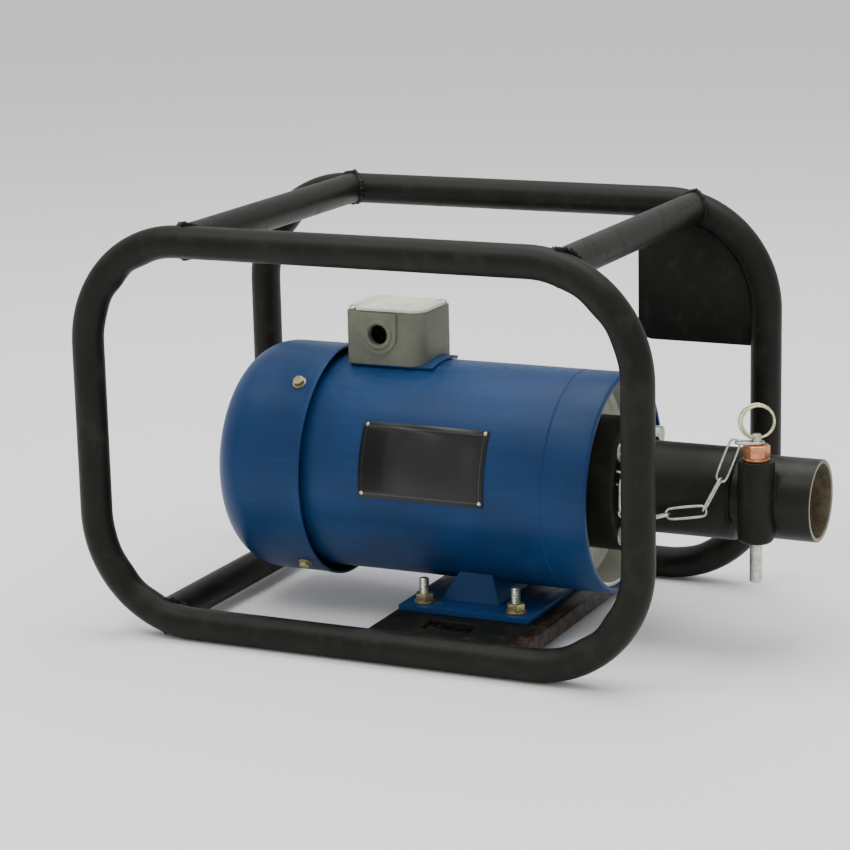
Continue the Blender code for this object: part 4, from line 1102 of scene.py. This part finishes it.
class DRIVE_OT_lock_pin(bpy.types.Operator):
    """Makes the sleeve, the lock pin with its copper hexagon, and the pull ring"""
    bl_idname = "drive_unit.lock_pin"
    bl_label = "Lock Pin"

    def execute(self, context):
        self.sleeve()
        self.pin()
        self.ring()
        return {"FINISHED"}

    def sleeve(self):
        low, high = span("pin_sleeve")
        at = self.axis()
        radius = 14 * MM
        socket_low, socket_high = span("socket_tube")
        socket_r = half_width("socket_tube")
        body = turn("pin_sleeve_turned", [(low.z, 0, 0), (low.z, radius, 5 * MM), (high.z, radius, 0.7 * MM),
                                          (high.z, 0, 0)], at, "Z", 96, closed=False)
        carve(body, level("tube_path", AXIS, socket_low.x - MM, socket_high.x, socket_r + 0.2 * MM, 96),
              upright("pin_path", at, low.z - 5 * MM, high.z + 5 * MM, PIN_HOLE, 64))
        beads = []
        for side in (-1, 1):
            path = self.seam(at, side, radius, socket_r, high.z)
            beads.append(seam_bead(f"sleeve_weld_{side}", path, sizes().weld * 0.8, 60 + side))
        place(joined(body, *beads), "frame_black", "root", "pin_sleeve", angle=40)

    def axis(self):
        """The pin's axis, on the floor."""
        at = middle("lock_pin")
        return Vector((at.x, at.y, 0))

    def seam(self, at, side, radius, socket_r, high):
        """Where the sleeve's wall meets the socket tube, on one side of the pin."""
        made = []
        count = 36
        for k in range(count):
            y = at.y + radius * (k / (count - 1) * 1.9 - 0.95)
            x = at.x + side * math.sqrt(radius ** 2 - (y - at.y) ** 2)
            if abs(y - AXIS.y) < socket_r * 0.995:
                z = AXIS.z + math.sqrt(socket_r ** 2 - (y - AXIS.y) ** 2)
                if z < high - MM:
                    made.append(Vector((x, y, z)))
        return made

    def pin(self):
        low, high = span("lock_pin")
        head_low, head_high = span("pin_head")
        at = self.axis()
        radius, spigot, neck, bore = 4.8 * MM, 3.9 * MM, 3.6 * MM, 4.2 * MM
        outline = [(low.z, 0, 0), (low.z, radius, 1.2 * MM), (head_low.z + 0.2 * MM, radius, 0.2 * MM),
                   (head_low.z + 0.2 * MM, spigot, 0), (head_high.z + 0.1 * MM, spigot, 0.2 * MM),
                   (head_high.z + 0.1 * MM, neck, 0.2 * MM), (high.z, neck, 1.3 * MM), (high.z, 0, 0)]
        pin = turn("lock_pin_turned", outline, at, "Z", 72, closed=False)
        ring = self.ring_direction()
        eye = Vector((at.x, at.y, head_high.z + 4.7 * MM))
        carve(pin, bar("ring_eye", eye - ring * 8 * MM, eye + ring * 8 * MM, 2.2 * MM, 40))
        place(pin, "steel", "pin", "lock_pin")
        seat = head_low.z + 1.9 * MM
        hexagon = hexagon_head("pin_head_hex", (at.x, at.y, seat), (0, 0, 1), head_high.z - seat, 18 * MM)
        self.turn_flat(hexagon, at)
        washer = collar("pin_head_washer", (head_low.z, head_low.z + 2 * MM), bore, 10.1 * MM,
                        centre=at, axis="Z", steps=64, bevel=0.5 * MM)
        carve(hexagon, upright("head_bore", at, head_low.z - MM, head_high.z + MM, bore))
        place(joined(hexagon, washer), "copper_head", "pin", "pin_head", angle=30)

    def turn_flat(self, piece, at):
        """One flat of the hexagon faces the way the ring does."""
        ring = self.ring_direction()
        only(piece)
        bpy.ops.object.mode_set(mode="EDIT")
        bpy.ops.mesh.select_all(action="SELECT")
        bpy.ops.transform.rotate(value=-math.atan2(ring.y, ring.x), orient_axis="Z", center_override=at)
        bpy.ops.object.mode_set(mode="OBJECT")

    def ring_direction(self):
        joint = next(j for j in frame["joints"] if j["name"] == "ring_swing")
        return Vector(joint["axis"]).normalized()

    def ring(self):
        """A split ring: the inner turn touches the outer on one side and parts from it on the other."""
        low, high = span("pull_ring")
        centre = middle("pull_ring")
        along = self.ring_direction()
        across = along.cross(Vector((0, 0, 1)))
        wire = 0.95 * MM
        radius = (high.z - low.z) / 2 - wire
        shift = 1.1 * wire
        steps = 110
        path = []
        for k in range(2 * steps + 1):
            angle = math.tau * k / steps + math.radians(20)
            inner = min(1, max(0, (k - steps * 0.92) / (steps * 0.16)))
            reach = radius - shift * inner
            path.append(centre + along * (reach * math.cos(angle) + shift * inner)
                        + Vector((0, 0, reach * math.sin(angle))) + across * wire * (2 * inner - 1))
        made = seam_bead("pull_ring_split", path, wire, 5, 60)
        place(made, "ring_zinc", "ring", "pull_ring", angle=60)


class DRIVE_OT_chain(bpy.types.Operator):
    """Bends the chain's seven links and the eye that holds it"""
    bl_idname = "drive_unit.chain"
    bl_label = "Tether Chain"

    def execute(self, context):
        carried = frame["record"]["behaviour"]["bodies"]
        bodies = {node: body for body, nodes in carried.items() for node in nodes}
        for k in range(1, 8):
            node = f"chain_link_{k}"
            place(self.smooth(node), "steel", bodies[node], node, angle=60)
        place(self.smooth("chain_eye"), "steel", "root", "chain_eye", angle=60)
        return {"FINISHED"}

    def smooth(self, node):
        piece = refined(node, dissolve=False)
        only(piece)
        bpy.ops.object.mode_set(mode="EDIT")
        bpy.ops.mesh.select_all(action="SELECT")
        bpy.ops.mesh.tris_convert_to_quads()
        bpy.ops.object.mode_set(mode="OBJECT")
        return change(piece, "SUBSURF", levels=2, render_levels=2)


# ---------------------------------------------------------------- inside, and what keeps its CAD shape

class DRIVE_OT_inner_parts(bpy.types.Operator):
    """Gives the rotor, stator, bearings, fan and drive hub their finishes"""
    bl_idname = "drive_unit.inner_parts"
    bl_label = "Inner Parts"

    def execute(self, context):
        plain = {
            "steel": ("front_bearing", "rear_bearing", "motor_shaft", "drive_hub"),
            "lamination": ("stator_core", "rotor_core"),
            "winding_copper": ("front_winding", "rear_winding"),
            "fan_plastic": ("cooling_fan", "terminal_board"),
            "motor_blue": ("rear_endshield",),
        }
        for material, nodes in plain.items():
            for node in nodes:
                piece = NODES[node]
                piece.data.materials.clear()
                piece.data.materials.append(finish(material))
        return {"FINISHED"}


# ---------------------------------------------------------------- stage

class DRIVE_OT_stage(bpy.types.Operator):
    """Lays the pale floor and sets the soft studio light and the camera"""
    bl_idname = "drive_unit.stage"
    bl_label = "Stage"

    azimuth = 25.16
    elevation = 13.27
    roll = -1.3
    distance = 2.213
    aim = Vector(((HOOP_LOW.x + HOOP_HIGH.x) / 2 - 8.8 * MM, 0, 151.6 * MM))
    lens = 116.36

    def execute(self, context):
        self.floor()
        self.lights()
        self.camera()
        return {"FINISHED"}

    def floor(self):
        start()
        bpy.ops.mesh.primitive_plane_add(size=14, location=ORIGIN)
        floor = bpy.context.object
        floor.name = "studio_floor"
        f = Finish("studio_floor")
        f.set(Base_Color=(0.88, 0.88, 0.88), Roughness=0.85)
        floor.data.materials.append(f.material)

    def lights(self):
        world = bpy.data.worlds.new("studio")
        bpy.context.scene.world = world
        world.use_nodes = True
        sky = world.node_tree.nodes["Background"].inputs
        sky["Color"].default_value = (1, 1, 1, 1)
        sky["Strength"].default_value = 0.9
        panels = (("key", (-0.7, -1.0, 2.3), (1.6, 1.0), 26), ("top", (0.1, 0.5, 2.5), (2.4, 1.6), 48),
                  ("fill", (1.9, -1.3, 0.9), (1.0, 1.2), 3))
        for name, at, (wide, tall), power in panels:
            light = bpy.data.lights.new(name, "AREA")
            light.shape = "RECTANGLE"
            light.size = wide
            light.size_y = tall
            light.energy = power
            lamp = bpy.data.objects.new(name, light)
            bpy.context.scene.collection.objects.link(lamp)
            lamp.location = at
            lamp.rotation_euler = (Vector(at) - self.aim).to_track_quat("Z", "Y").to_euler()

    def camera(self):
        data = bpy.data.cameras.new("camera")
        data.lens = self.lens
        data.sensor_width = 36
        data.clip_start = 0.05
        camera = bpy.data.objects.new("camera", data)
        bpy.context.scene.collection.objects.link(camera)
        turned = (Matrix.Rotation(math.radians(self.azimuth), 4, "Z")
                  @ Matrix.Rotation(math.radians(90 - self.elevation), 4, "X")
                  @ Matrix.Rotation(math.radians(self.roll), 4, "Z"))
        back = turned.to_3x3() @ Vector((0, 0, 1))
        camera.matrix_world = Matrix.Translation(self.aim + back * self.distance) @ turned
        bpy.context.scene.camera = camera


OPERATORS = (DRIVE_OT_stage, DRIVE_OT_inner_parts, DRIVE_OT_roll_frame, DRIVE_OT_plates,
             DRIVE_OT_motor_shell, DRIVE_OT_front_endshield, DRIVE_OT_fan_cowl, DRIVE_OT_motor_foot,
             DRIVE_OT_terminal_box, DRIVE_OT_nameplate, DRIVE_OT_coupling, DRIVE_OT_lock_pin, DRIVE_OT_chain)


class DRIVE_PT_panel(bpy.types.Panel):
    bl_label = "Drive Unit"
    bl_idname = "DRIVE_PT_panel"
    bl_space_type = "VIEW_3D"
    bl_region_type = "UI"
    bl_category = "Drive Unit"

    def draw(self, context):
        for group in (context.scene.drive_unit_sizes, context.scene.drive_unit_colours):
            column = self.layout.column()
            for key in group.__annotations__:
                column.prop(group, key)
        for operator in OPERATORS:
            self.layout.operator(operator.bl_idname)


CLASSES = (DriveUnitSizes, DriveUnitColours, *OPERATORS, DRIVE_PT_panel)


def register():
    for made in CLASSES:
        bpy.utils.register_class(made)
    bpy.types.Scene.drive_unit_sizes = bpy.props.PointerProperty(type=DriveUnitSizes)
    bpy.types.Scene.drive_unit_colours = bpy.props.PointerProperty(type=DriveUnitColours)


def unregister():
    del bpy.types.Scene.drive_unit_colours
    del bpy.types.Scene.drive_unit_sizes
    for made in reversed(CLASSES):
        bpy.utils.unregister_class(made)


def main():
    register()
    for operator in OPERATORS:
        group, name = operator.bl_idname.split(".")
        getattr(getattr(bpy.ops, group), name)()
    start()


if __name__ == "__main__":
    main()
